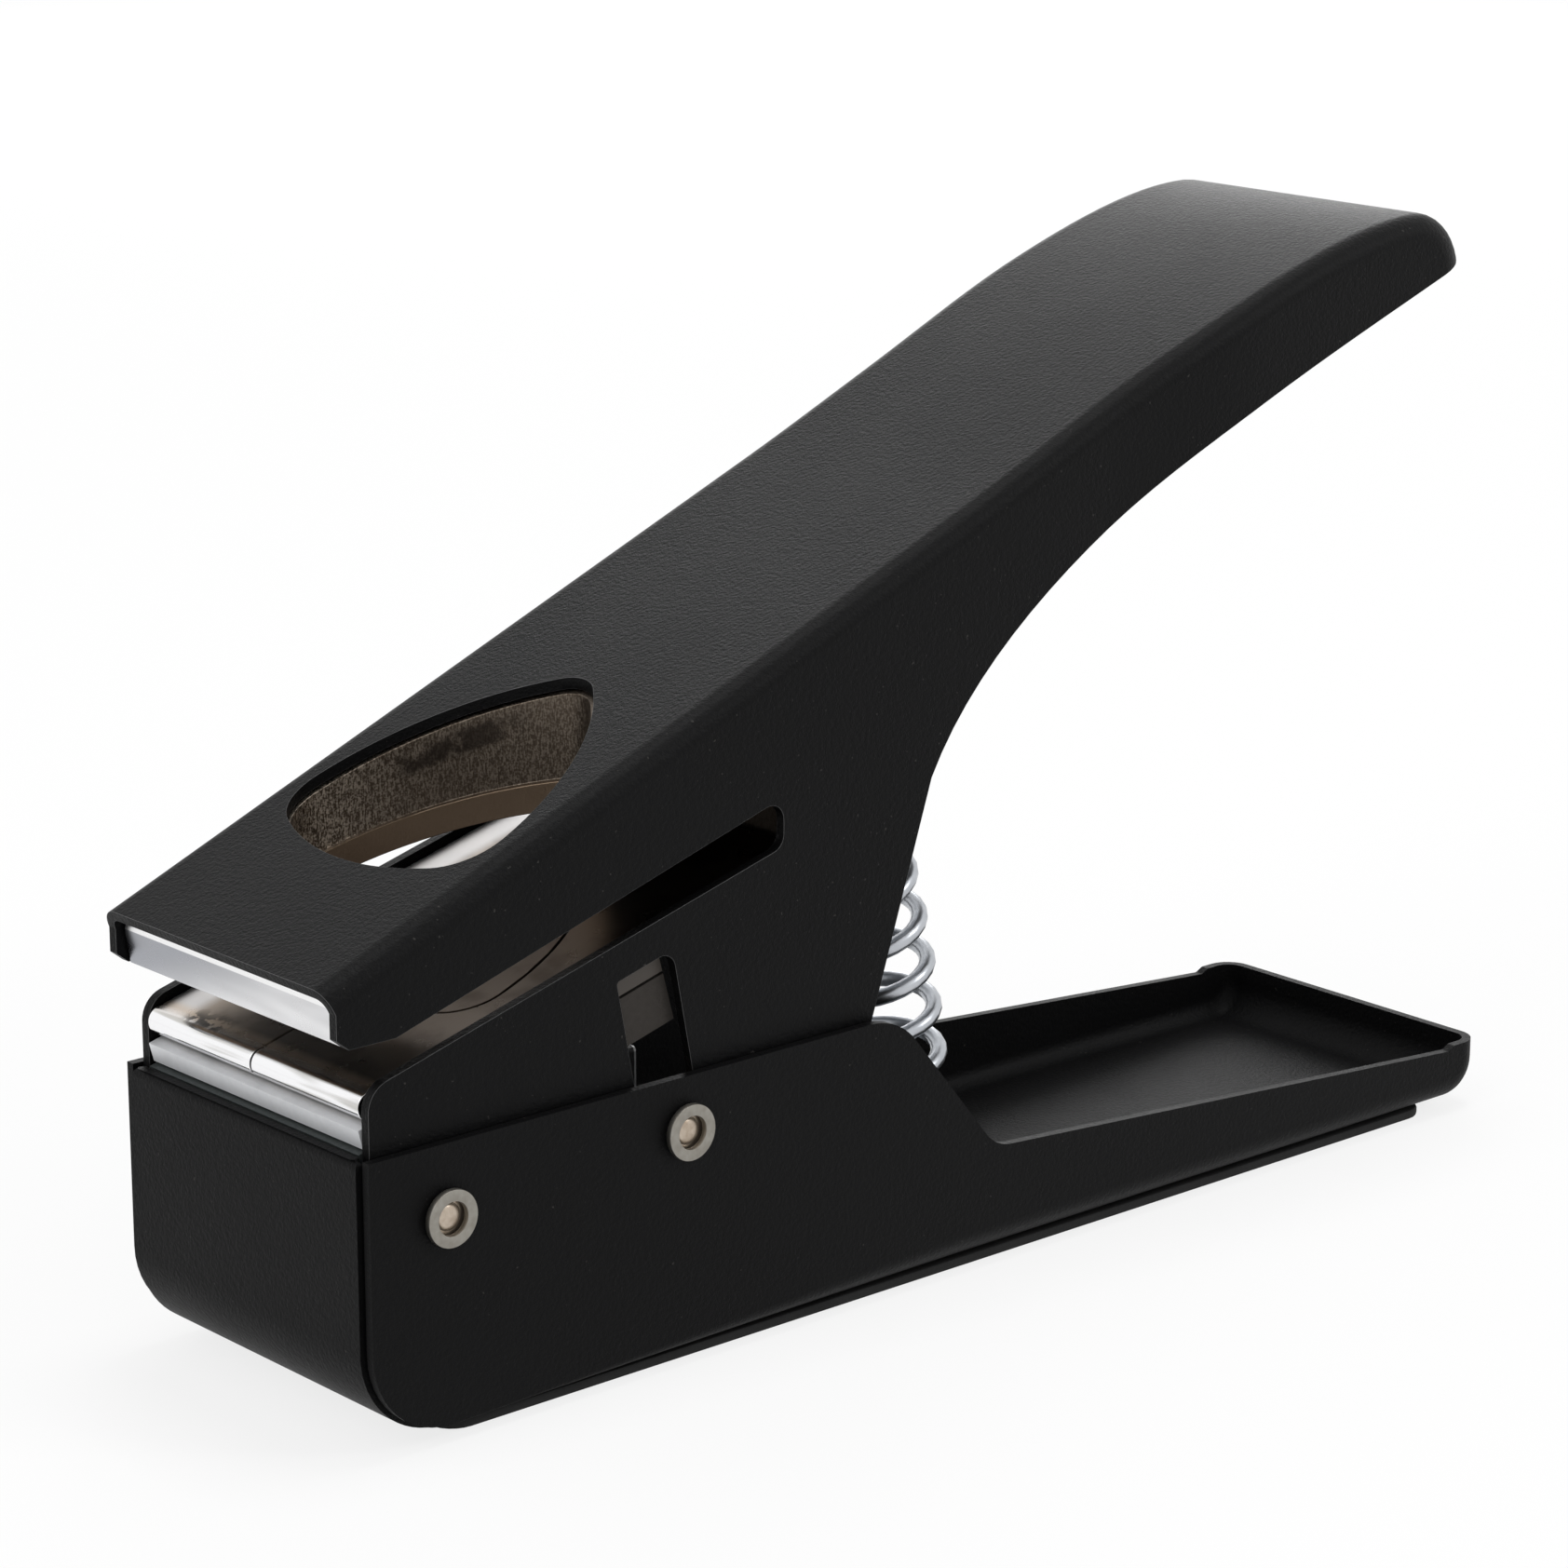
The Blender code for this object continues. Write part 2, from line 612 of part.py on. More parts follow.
def handle_path():
    """Side view of the handle's top: straight, then curving to its end and down behind."""
    straight_end = NOSE + TOP_STRAIGHT * TOP_DIRECTION / TOP_DIRECTION.x
    end = straight_end + Vector((END_RUN, END_RISE))
    curve = bezier(straight_end, straight_end + END_HANDLE_A * TOP_DIRECTION,
                   end - Vector((END_HANDLE_B, 0)), end, 3 * ARC_STEPS)
    bend = arc(end - Vector((0, END_RADIUS)), END_RADIUS, 90, 0)
    tail = bend[-1] - Vector((0, END_DROP))
    return [NOSE, NOSE.lerp(straight_end, 0.5)] + curve + bend[1:] + [tail]


def handle_profile():
    """Side view of the whole handle sheet, with the open card slot, above its lower edge."""
    kink = NOSE + Vector((KINK_RUN, KINK_RISE))
    rear = NOSE + Vector((THROAT_RUN, THROAT_RISE))
    throat = bezier(rear, rear - THROAT_HANDLE * direction(THROAT_ANGLE_B),
                    kink + THROAT_HANDLE * direction(THROAT_ANGLE_A), kink, 2 * ARC_STEPS)
    heel = FRONT_PIN + Vector((HEEL_RUN, HEEL_RISE))
    under_notch = REAR_PIN.y - PIN_RADIUS - NOTCH_REAR_GAP - NOTCH_FLOOR
    front_x = FRONT_PIN.x - EAR_RADIUS
    top_x = rear.x + FAR_OVERRUN
    top_height = rear.y + FAR_OVERRUN
    lower = rounded([
        (front_x, FRONT_PIN.y, 0),
        (front_x, slot_floor(front_x), SLOT_FRONT_RADIUS),
        (SLOT_END_X, slot_floor(SLOT_END_X), SLOT_END_RADIUS),
        (SLOT_END_X, die_bottom(SLOT_END_X), SLOT_END_RADIUS),
        (MOUTH_X, MOUTH_HEIGHT, 0),
        (-NOSE_FOOT, MOUTH_HEIGHT, 0),
        (NOSE.x - OVERRUN, NOSE.y, 0),
        (NOSE.x - OVERRUN, top_height, 0),
        (top_x, top_height, 0),
    ])
    rear_beyond = rear + (top_x - rear.x) * Vector((1, math.tan(THROAT_ANGLE_B)))
    outline = lower + [rear_beyond] + throat
    outline += rounded_heel(kink, heel, Vector((REAR_PIN.x, under_notch)))
    outline += arc(FRONT_PIN, EAR_RADIUS, 270, 180)[:-1]
    return outline


def rounded_heel(kink, heel, under_notch):
    """The handle's hidden lower rear corner."""
    corners = rounded([(kink.x, kink.y, 0), (heel.x, heel.y, HEEL_RADIUS),
                       (under_notch.x, under_notch.y, 0)])
    return corners[1:]


def notch_outline():
    """The opening in the handle's sides that the rear pin moves in."""
    travel = (REAR_PIN_PRESSED - REAR_PIN).normalized()
    ahead = Vector((-travel.y, travel.x))
    front = (PIN_RADIUS + NOTCH_FRONT_GAP) * ahead
    rear = -(PIN_RADIUS + NOTCH_REAR_GAP) * ahead
    foot = REAR_PIN - (PIN_RADIUS + NOTCH_REAR_GAP) * travel

    def up_to_roof(start):
        roof = slot_floor(start.x) - NOTCH_ROOF
        climb = (roof - start.y) / (travel.y - GUIDE_SLOPE * travel.x)
        return start + climb * travel

    corners = [
        (foot + front, NOTCH_FOOT_RADIUS),
        (foot + rear, NOTCH_FOOT_RADIUS),
        (up_to_roof(foot + rear), NOTCH_TOP_RADIUS),
        (up_to_roof(foot + front), NOTCH_TOP_FRONT_RADIUS),
    ]
    return rounded([(point.x, point.y, radius) for point, radius in corners])


def make_handle(pivot, finish):
    """The handle: a channel of one sheet with its window, slot, notch and pivot hole."""
    path = handle_path()
    normals = path_normals(path)
    rear_start = len(path) - ARC_STEPS - 2
    rings = []
    for index, (point, normal) in enumerate(zip(path, normals)):
        share = min(max((index - rear_start) / ARC_STEPS, 0), 1)
        bend = SHEET_BEND + (END_CORNER - SHEET_BEND) * share
        rings.append(bent_ring(point, normal, HANDLE_HALF + flare(point.x), bend))
    low = FRONT_PIN.y - EAR_RADIUS - OVERRUN
    seams = [0] + [index for index in range(1, rear_start) if flare(path[index + 1].x) > 0
                   and flare(path[index - 1].x) < FLARE] + [len(path) - 1]
    shape = bmesh.new()
    rows = bent_skin(shape, rings)
    for side in (0, -1):
        feet = {}
        for index in seams:
            top = rings[index][side]
            feet[index] = shape.verts.new((top.x, top.y, low))
        for before, after in zip(seams, seams[1:]):
            edge = [row[side] for row in rows[before:after + 1]]
            shape.faces.new(edge + [feet[after], feet[before]])
    mesh = finish_mesh(shape, "handle_shell")
    handle = piece("handle_shell", from_pivot(mesh), pivot, finish)
    sheet_metal(handle, SHEET)
    wide = BASE_HALF + OVERRUN
    profile = side_plate("handle_profile", handle_profile(), wide)
    cut(handle, from_pivot(profile), "INTERSECT")
    cut(handle, from_pivot(side_plate("handle_notch", notch_outline(), wide)))
    window_top = NOSE.y + FAR_OVERRUN
    window = standing_prism("handle_window", pick_outline(0), die_bottom, lambda x: window_top)
    cut(handle, from_pivot(window))
    cut(handle, turned("handle_pin_hole", rod(PIN_HOLE_RADIUS, wide)))
    return handle


def under_sheet(x, depth):
    """Height under the straight part of the handle's top, at a depth square to it."""
    return NOSE.y + math.tan(TOP_ANGLE) * (x - NOSE.x) - depth / math.cos(TOP_ANGLE)


def make_die(pivot, finish):
    """The upper jaw: a wedge with a bored pick hole, cutting edge down, and the card's end stop."""
    depth = SHEET + CLEARANCE
    front_lean = (NOSE_OVERHANG - NOSE_FOOT) / NOSE_HEIGHT
    front_foot = -NOSE_FOOT + DIE_FRONT_INSET
    top_x = front_foot - front_lean * (NOSE_HEIGHT - depth)
    outline = [
        Vector((front_foot, MOUTH_HEIGHT)),
        Vector((MOUTH_X, MOUTH_HEIGHT)),
        Vector((STOP_X, die_bottom(STOP_X))),
        Vector((STOP_X, GUIDE_END.y)),
        Vector((DIE_REAR_X, GUIDE_END.y)),
        Vector((DIE_REAR_X, under_sheet(DIE_REAR_X, depth))),
        Vector((top_x + DIE_NOSE_BEVEL, under_sheet(top_x + DIE_NOSE_BEVEL, depth))),
        Vector((top_x, under_sheet(top_x, depth) - DIE_NOSE_BEVEL / 2)),
    ]
    shape = bmesh.new()
    shape.from_mesh(side_plate("die", outline, JAW_HALF))
    shape.edges.ensure_lookup_table()
    long_top = [edge for edge in shape.edges
                if abs(edge.verts[0].co.y - edge.verts[1].co.y) < CLEARANCE
                and min(vert.co.z - under_sheet(vert.co.x, depth + CLEARANCE)
                        for vert in edge.verts) > 0]
    bmesh.ops.bevel(shape, geom=long_top, offset=DIE_EDGE_BEVEL, segments=3, profile=0.5,
                    affect="EDGES")
    die = piece("upper_die_block", from_pivot(finish_mesh(shape, "upper_die_block")), pivot,
                finish)

    def ledge(x):
        return die_bottom(x) + DIE_EDGE_HEIGHT

    high = NOSE.y + FAR_OVERRUN
    edge_hole = standing_prism("die_edge_hole", pick_outline(DIE_EDGE_INSET),
                               lambda x: die_bottom(x) - OVERRUN, lambda x: high)
    relief = standing_prism("die_relief", pick_outline(CLEARANCE), ledge, lambda x: high)
    cut(die, from_pivot(edge_hole))
    cut(die, from_pivot(relief))
    return die


def plate_front(depth):
    """Where a square plate of the lower jaw starts, so that its front clears the flap."""
    return (JAW_FRONT_X - JAW_ORIGIN.x - depth * math.sin(GUIDE_ANGLE)) / math.cos(GUIDE_ANGLE)


def jaw_box(name, start, end, low, high):
    """A square plate of the lower jaw, in the sloping jaw frame."""
    outline = [Vector((start, low)), Vector((end, low)), Vector((end, high)),
               Vector((start, high))]
    return side_plate(name, outline, JAW_HALF)


def punch_way(name):
    """Cutter: the pick-shaped way through the lower jaw."""
    low = FRONT_PIN.y - OVERRUN
    high = guide_top(PICK_TIP_X) + OVERRUN
    return from_pivot(standing_prism(name, pick_outline(DIE_EDGE_INSET), lambda x: low,
                                     lambda x: high))


def carrier_way(name):
    """Cutter: the channel at the rear of the lower plates that the carrier rises in."""
    half = CARRIER_HALF_WIDTH + CHANNEL_CLEARANCE
    end = SLOT_END_X
    outline = [Vector((CHANNEL_FRONT_X, -half)), Vector((end, -half)), Vector((end, half)),
               Vector((CHANNEL_FRONT_X, half))]
    low = FRONT_PIN.y - OVERRUN
    high = guide_top(PICK_TIP_X) + OVERRUN
    return from_pivot(standing_prism(name, outline, lambda x: low, lambda x: high))


def jaw_screw_places():
    """Screw places in the jaw frame: two in front, two behind."""
    places = []
    for along, across in ((SCREW_FRONT_U, SCREW_FRONT_Y), (SCREW_REAR_U, SCREW_REAR_Y)):
        places += [(along, -across), (along, across)]
    return places


def screw_profile(bottom, shank_end):
    """Half outline of a cap screw, head down, as (radius, along) from its head's face."""
    return [(0, bottom), (SCREW_HEAD_RADIUS, bottom),
            (SCREW_HEAD_RADIUS, bottom + SCREW_HEAD_HEIGHT),
            (SCREW_RADIUS, bottom + SCREW_HEAD_HEIGHT), (SCREW_RADIUS, shank_end),
            (0, shank_end)]


def screw_hole_profile(face, shank_end):
    """Half outline of the counterbored hole for such a screw, open at the face."""
    floor = face + SCREW_RECESS + SCREW_HEAD_HEIGHT + CLEARANCE
    bore = SCREW_RADIUS + CLEARANCE
    head = SCREW_HEAD_RADIUS + CLEARANCE
    return [(0, face - OVERRUN), (head, face - OVERRUN), (head, floor), (bore, floor),
            (bore, shank_end + CLEARANCE), (0, shank_end + CLEARANCE)]


def upright(mesh, x, y):
    """Stand a shape that was turned round Y up along Z, at a place."""
    mesh.transform(Matrix.Rotation(math.radians(90), 4, "X"))
    return shifted(mesh, Vector((x, y, 0)))


def make_lower_jaw(pivot, jaw, finishes):
    """Guides, support plate, guide block and the four screws that hold them together."""
    support_top = -GUIDE_THICKNESS - CLEARANCE
    support_low = support_top - SUPPORT_THICKNESS
    block_top = support_low - CLEARANCE
    block_low = block_top - BLOCK_THICKNESS
    screw_end = -SCREW_ROOF - CLEARANCE

    pieces = []
    for name, side in (("lower_guide_left", -1), ("lower_guide_right", 1)):
        nose = arc(Vector((NOSE_ROUND, -NOSE_ROUND)), NOSE_ROUND, 90, 270, 2 * ARC_STEPS)
        outline = nose + [Vector((GUIDE_LENGTH, -GUIDE_THICKNESS)), Vector((GUIDE_LENGTH, 0))]
        seam = side * CLEARANCE / 2
        points = [(p.x, seam, p.y) for p in outline]
        mesh = pushed(name, points, Vector((0, side * (JAW_HALF - CLEARANCE / 2), 0)))
        guide = piece(name, mesh, jaw, finishes["guide"])
        cut(guide, punch_way(name + "_way"), parent=pivot)
        pieces.append((guide, side))

    support = piece("guide_support_plate",
                    jaw_box("support", plate_front(-support_top), BLOCK_LENGTH, support_low,
                            support_top), jaw, finishes["chrome"])
    block = piece("guide_block",
                  jaw_box("block", plate_front(-block_top), BLOCK_LENGTH, block_low, block_top),
                  jaw, finishes["casting"])
    for plate in (support, block):
        cut(plate, punch_way(plate.name + "_way"), parent=pivot)
        cut(plate, carrier_way(plate.name + "_channel"), parent=pivot)
        pieces.append((plate, 0))

    for index, (along, across) in enumerate(jaw_screw_places(), 1):
        name = "guide_screw_" + str(index)
        hole_name = name + "_hole"
        for target, side in pieces:
            if side * across < 0:
                continue
            hole = turned(hole_name + "_" + target.name,
                          screw_hole_profile(block_low, screw_end))
            cut(target, upright(hole, along, across))
        screw = turned(name, screw_profile(block_low + SCREW_RECESS, screw_end))
        piece(name, upright(screw, along, across), jaw, finishes["steel"])


def make_carrier(slide, finish):
    """The block that the rear pin holds, with a slot that lets the pin shift along it."""
    slot_rear = REAR_PIN.x + PIN_HOLE_RADIUS
    rear_x = slot_rear + CARRIER_REAR_WALL
    outline = [Vector((CARRIER_FRONT_X, CARRIER_BOTTOM)), Vector((rear_x, CARRIER_BOTTOM)),
               Vector((rear_x, CARRIER_TOP)), Vector((CARRIER_FRONT_X, CARRIER_TOP))]
    mesh = side_plate("punch_carrier", outline, CARRIER_HALF_WIDTH)
    carrier = piece("punch_carrier", from_pivot(mesh), slide, finish)
    soften(carrier, CARRIER_BEVEL)
    front = Vector((REAR_PIN_PRESSED.x, REAR_PIN.y))
    slot = arc(REAR_PIN, PIN_HOLE_RADIUS, -90, 90) + arc(front, PIN_HOLE_RADIUS, 90, 270)
    cut(carrier, from_pivot(side_plate("carrier_slot", slot, CARRIER_HALF_WIDTH + OVERRUN)))
    return carrier


def make_punch(slide, carrier, finishes):
    """The pick-shaped punch, flush with the guides, and the two screws that hold it."""
    mesh = standing_prism("pick_punch", pick_outline(DIE_EDGE_INSET + CLEARANCE),
                          lambda x: PUNCH_BOTTOM, guide_top)
    punch = piece("pick_punch", from_pivot(mesh), slide, finishes["guide"])
    end = PUNCH_BOTTOM + PUNCH_SCREW_DEPTH
    for name, x in (("punch_screw_front", PUNCH_SCREW_FRONT_X),
                    ("punch_screw_rear", PUNCH_SCREW_REAR_X)):
        for target in (punch, carrier):
            hole = turned(name + "_hole_" + target.name,
                          screw_hole_profile(CARRIER_BOTTOM, end))
            cut(target, from_pivot(upright(hole, x, 0)))
        screw = turned(name, screw_profile(CARRIER_BOTTOM + SCREW_RECESS, end))
        piece(name, from_pivot(upright(screw, x, 0)), slide, finishes["steel"])


def spring_seat():
    """Where the spring's axis meets the underside of the handle."""
    return NOSE + SPRING_SEAT_RUN * TOP_DIRECTION / TOP_DIRECTION.x - SHEET * TOP_NORMAL


def spring_axis(steps):
    """Side view of the spring's axis, from the floor to the handle's underside."""
    low = Vector((SPRING_X, FLOOR_TOP + CLEARANCE))
    high = spring_seat() - CLEARANCE * TOP_NORMAL
    return bezier(low, low + Vector((0, SPRING_HANDLE)), high - SPRING_HANDLE * TOP_NORMAL,
                  high, steps)


def along_axis(axis, distance):
    """Point and direction on the axis at a distance from its start."""
    for before, after in zip(axis, axis[1:]):
        length = (after - before).length
        if distance <= length or after == axis[-1]:
            heading = (after - before).normalized()
            return before + heading * distance, heading
        distance -= length


def spring_points():
    """The wire's centre line: a helix on the axis, with straight ends square to the seats."""
    axis = spring_axis(ROUND_STEPS)
    length = sum((after - before).length for before, after in zip(axis, axis[1:]))
    wire = 2 * WIRE_RADIUS
    turn_in = wire
    start = wire + turn_in
    end = length - start
    count = int((end - start) / COIL_PITCH * COIL_POINTS)
    helix = []
    for index in range(count + 1):
        distance = start + (end - start) * index / count
        angle = math.tau * (distance - start) / COIL_PITCH
        centre, heading = along_axis(axis, distance)
        outward = Vector((heading.y, 0, -heading.x))
        arm = math.cos(angle) * outward + math.sin(angle) * Vector((0, 1, 0))
        helix.append(Vector((centre.x, 0, centre.y)) + COIL_RADIUS * arm)
    low_up = Vector((0, 0, 1))
    high_up = Vector((TOP_NORMAL.x, 0, TOP_NORMAL.y))
    first = end_bend(helix[0], (helix[0] - helix[1]).normalized(), -low_up, turn_in, wire)
    last = end_bend(helix[-1], (helix[-1] - helix[-2]).normalized(), high_up, turn_in, wire)
    return list(reversed(first)) + helix + last


def end_bend(start, heading, up, radius, straight):
    """Points that turn the wire from its last coil to the seat, then run straight."""
    flat = (heading - heading.dot(up) * up).normalized()
    points = []
    for point in arc(Vector((0, 0)), radius, 0, 90, END_BEND_STEPS)[1:]:
        points.append(start + point.y * flat + (radius - point.x) * up)
    points.append(points[-1] + straight * up)
    return points


def least_gap(points):
    """Least space between stretches of the wire that lie a half coil or more apart."""
    least = COIL_PITCH
    apart = COIL_POINTS // 2
    for index, point in enumerate(points):
        for other in points[index + apart:]:
            least = min(least, (other - point).length)
    return least - 2 * WIRE_RADIUS


def make_spring(tool, finish):
    """The return spring, one unbroken wire."""
    points = spring_points()
    end_points = END_BEND_STEPS + 1
    coils = (len(points) - 2 * end_points - 1) / COIL_POINTS
    print("return_spring: coils", round(coils, 1),
          "least gap mm", round(least_gap(points) / MM, 2))
    curve = bpy.data.curves.new("return_spring", "CURVE")
    curve.dimensions = "3D"
    curve.bevel_depth = WIRE_RADIUS
    curve.bevel_resolution = 1
    curve.use_fill_caps = True
    spline = curve.splines.new("POLY")
    spline.points.add(len(points) - 1)
    for slot, point in zip(spline.points, points):
        slot.co = (*point, 1)
    return piece("return_spring", curve, tool, finish)


def boss_profile():
    """Half outline of a spring boss, from its foot up, with a small lead at its top."""
    radius = COIL_RADIUS - WIRE_RADIUS - BOSS_CLEARANCE
    return [(0, 0), (radius, 0), (radius, BOSS_HEIGHT - BOSS_BEVEL),
            (radius - BOSS_BEVEL, BOSS_HEIGHT), (0, BOSS_HEIGHT)]


def make_bosses(tool, pivot, finish):
    """The two studs that locate the spring's ends."""
    lower = upright(turned("lower_spring_boss", boss_profile()), SPRING_X, 0)
    lower = shifted(lower, Vector((0, 0, FLOOR_TOP + CLEARANCE)))
    piece("lower_spring_boss", lower, tool, finish)
    seat = spring_seat() - CLEARANCE * TOP_NORMAL
    upper = upright(turned("upper_spring_boss", boss_profile()), 0, 0)
    upper.transform(Matrix.Rotation(math.pi - TOP_ANGLE, 4, "Y"))
    piece("upper_spring_boss", from_pivot(shifted(upper, Vector((seat.x, 0, seat.y)))), pivot,
          finish)


def build():
    for item in list(bpy.data.objects):
        bpy.data.objects.remove(item)

    black = material("black_powder_coat", (0.012, 0.012, 0.013), 0.5, 0.0)
    rubber = material("black_rubber", (0.02, 0.02, 0.02), 0.8, 0.0)
    nickel = material("nickel", (0.55, 0.53, 0.5), 0.3, 1.0)
    brass = material("aged_brass", (0.45, 0.36, 0.24), 0.4, 1.0)
    zinc = material("bright_zinc", (0.75, 0.76, 0.78), 0.25, 1.0)
    finishes = {
        "guide": material("warm_nickel", (0.6, 0.55, 0.47), 0.3, 1.0),
        "chrome": material("chrome", (0.8, 0.8, 0.82), 0.12, 1.0),
        "casting": material("grey_casting", (0.2, 0.19, 0.18), 0.5, 1.0),
        "steel": material("screw_steel", (0.5, 0.5, 0.52), 0.35, 1.0),
    }

    tool = empty("tool", None, (-TOOL_CENTRE_X, 0, 0))
    pivot = empty("handle_pivot", tool, (FRONT_PIN.x, 0, FRONT_PIN.y))
    slide = empty("punch_slide", pivot, (0, 0, 0))
    jaw_place = (JAW_ORIGIN.x - FRONT_PIN.x, 0, JAW_ORIGIN.y - FRONT_PIN.y)
    jaw = empty("lower_jaw", pivot, jaw_place, -GUIDE_ANGLE)

    make_base(tool, black)
    make_mat(tool, rubber)
    for name, place in (("front_pivot_pin", FRONT_PIN), ("rear_punch_pin", REAR_PIN)):
        make_pin(name, tool, place, brass)
    for name, place in (("front_pin_collar", FRONT_PIN), ("rear_pin_collar", REAR_PIN)):
        make_collar(name + "_left", tool, place, -1, nickel)
        make_collar(name + "_right", tool, place, 1, nickel)
    make_tube(tool, nickel)
    make_handle(pivot, black)
    make_die(pivot, finishes["chrome"])
    make_lower_jaw(pivot, jaw, finishes)
    carrier = make_carrier(slide, finishes["steel"])
    make_punch(slide, carrier, finishes)
    make_spring(tool, zinc)
    make_bosses(tool, pivot, nickel)
    bpy.context.view_layer.update()


build()
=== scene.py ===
"""Looks of a guitar pick punch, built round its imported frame.

Metres, +Z up. The jaws face -X, the lever end faces +X and the near side faces -Y. Side views are
drawn in millimetres from the front face of the base, as x and height.
"""
import json
import math

import bmesh
import bpy
from mathutils import Matrix, Vector

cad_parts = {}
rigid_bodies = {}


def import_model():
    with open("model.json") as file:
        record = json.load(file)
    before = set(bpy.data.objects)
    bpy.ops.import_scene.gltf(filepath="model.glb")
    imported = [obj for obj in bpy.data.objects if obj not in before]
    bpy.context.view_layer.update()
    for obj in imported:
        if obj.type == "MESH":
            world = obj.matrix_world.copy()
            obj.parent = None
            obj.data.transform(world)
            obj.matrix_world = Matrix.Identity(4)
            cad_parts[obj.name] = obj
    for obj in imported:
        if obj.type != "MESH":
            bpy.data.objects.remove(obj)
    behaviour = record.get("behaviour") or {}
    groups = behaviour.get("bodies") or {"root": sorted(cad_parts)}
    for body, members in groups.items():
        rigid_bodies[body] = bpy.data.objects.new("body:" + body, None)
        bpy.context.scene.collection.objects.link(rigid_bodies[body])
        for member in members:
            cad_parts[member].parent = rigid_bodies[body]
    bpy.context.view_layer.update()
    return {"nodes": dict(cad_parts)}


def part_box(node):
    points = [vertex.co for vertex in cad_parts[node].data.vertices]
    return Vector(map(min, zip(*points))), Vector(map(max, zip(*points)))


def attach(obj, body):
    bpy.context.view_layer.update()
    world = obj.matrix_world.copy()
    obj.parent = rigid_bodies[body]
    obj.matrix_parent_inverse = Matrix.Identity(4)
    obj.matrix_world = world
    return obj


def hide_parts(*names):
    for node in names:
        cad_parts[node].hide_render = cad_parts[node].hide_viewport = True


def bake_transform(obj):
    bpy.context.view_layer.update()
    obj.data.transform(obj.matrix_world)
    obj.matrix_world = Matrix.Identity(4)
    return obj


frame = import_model()
for stock in list(bpy.data.objects):
    if stock.type in {"CAMERA", "LIGHT"} or stock.name == "Cube":
        bpy.data.objects.remove(stock)


# Base sheet
# One sheet of 1 mm steel: a front flap, a floor, high side walls and a shallow tray that is drawn
# at the rear. It is pressed and folded, then powder coated satin black. The flap isn't welded to
# the walls, so a narrow slit runs down each front corner.

# A hair is a length in metres that is too small to count. A cut reaches past both walls.
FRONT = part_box("base_shell")[0].x
MM = 0.001
HAIR = 1e-6
CUT_HALF = 25.0
ACROSS = (math.radians(90), 0, 0)


def place(x, z, y=0):
    """A side view point, in millimetres, as a place in the frame."""
    return Vector((FRONT + x * MM, y * MM, z * MM))


def arc(centre_x, centre_z, radius, start, end, steps):
    """Side view points on an arc. Angles are in degrees, from the rear and upwards."""
    points = []
    for step in range(steps + 1):
        angle = math.radians(start + (end - start) * step / steps)
        points.append((centre_x + radius * math.cos(angle), centre_z + radius * math.sin(angle)))
    return points


def rounded(corners, steps=6):
    """A side view outline from (x, z, radius) corners."""
    outline = []
    for index, (x, z, radius) in enumerate(corners):
        corner = Vector((x, z))
        if radius == 0:
            outline.append((x, z))
            continue
        before = Vector(corners[index - 1][:2]) - corner
        after = Vector(corners[(index + 1) % len(corners)][:2]) - corner
        half = before.angle(after) / 2
        reach = min(radius / math.tan(half), before.length / 2, after.length / 2)
        middle = (before.normalized() + after.normalized()).normalized()
        centre = corner + middle * reach / math.cos(half)
        start = corner + before.normalized() * reach - centre
        turn = start.angle_signed(corner + after.normalized() * reach - centre)
        for step in range(steps + 1):
            spoke = Matrix.Rotation(-turn * step / steps, 2) @ start
            outline.append(tuple(centre + spoke))
    return outline


def choose(kind, wanted):
    """In edit mode, select only the points, edges or faces that are wanted."""
    bpy.ops.mesh.select_mode(type=kind)
    bpy.ops.mesh.select_all(action="DESELECT")
    shape = bmesh.from_edit_mesh(bpy.context.object.data)
    items = {"VERT": shape.verts, "EDGE": shape.edges, "FACE": shape.faces}[kind]
    for item in items:
        if wanted(item):
            item.select_set(True)
    bmesh.update_edit_mesh(bpy.context.object.data)


def pull(offset):
    """Extrude what is selected by an offset."""
    bpy.ops.mesh.extrude_region_move(TRANSFORM_OT_translate={"value": offset})


def middle_of(edge):
    return (edge.verts[0].co + edge.verts[1].co) / 2


def to_edit():
    bpy.ops.object.mode_set(mode="EDIT")


def to_object():
    bpy.ops.object.mode_set(mode="OBJECT")


def weld(distance=HAIR):
    """In edit mode, join all points that lie together."""
    bpy.ops.mesh.select_all(action="SELECT")
    bpy.ops.mesh.remove_doubles(threshold=distance)


def face_out():
    """In edit mode, turn all faces outwards."""
    bpy.ops.mesh.select_all(action="SELECT")
    bpy.ops.mesh.normals_make_consistent(inside=False)


def clean(distance):
    """Join points of a cut shape that lie together and take out its faces with no area."""
    to_edit()
    weld(distance)
    bpy.ops.mesh.dissolve_degenerate(threshold=distance)
    to_object()


def seed(name, where):
    """A new piece that is one point, in edit mode, ready to be drawn out."""
    bpy.ops.object.select_all(action="DESELECT")
    bpy.ops.mesh.primitive_plane_add(size=MM)
    piece = bpy.context.object
    piece.name = name
    piece.data.name = name
    to_edit()
    bpy.ops.mesh.select_mode(type="VERT")
    bpy.ops.mesh.select_all(action="SELECT")
    bpy.ops.mesh.merge(type="CENTER")
    bpy.ops.transform.translate(value=where)
    return piece


def draw(points):
    """Draw the selected point or edge out through a row of places; the first is where it is."""
    for before, after in zip(points, points[1:]):
        pull(after - before)


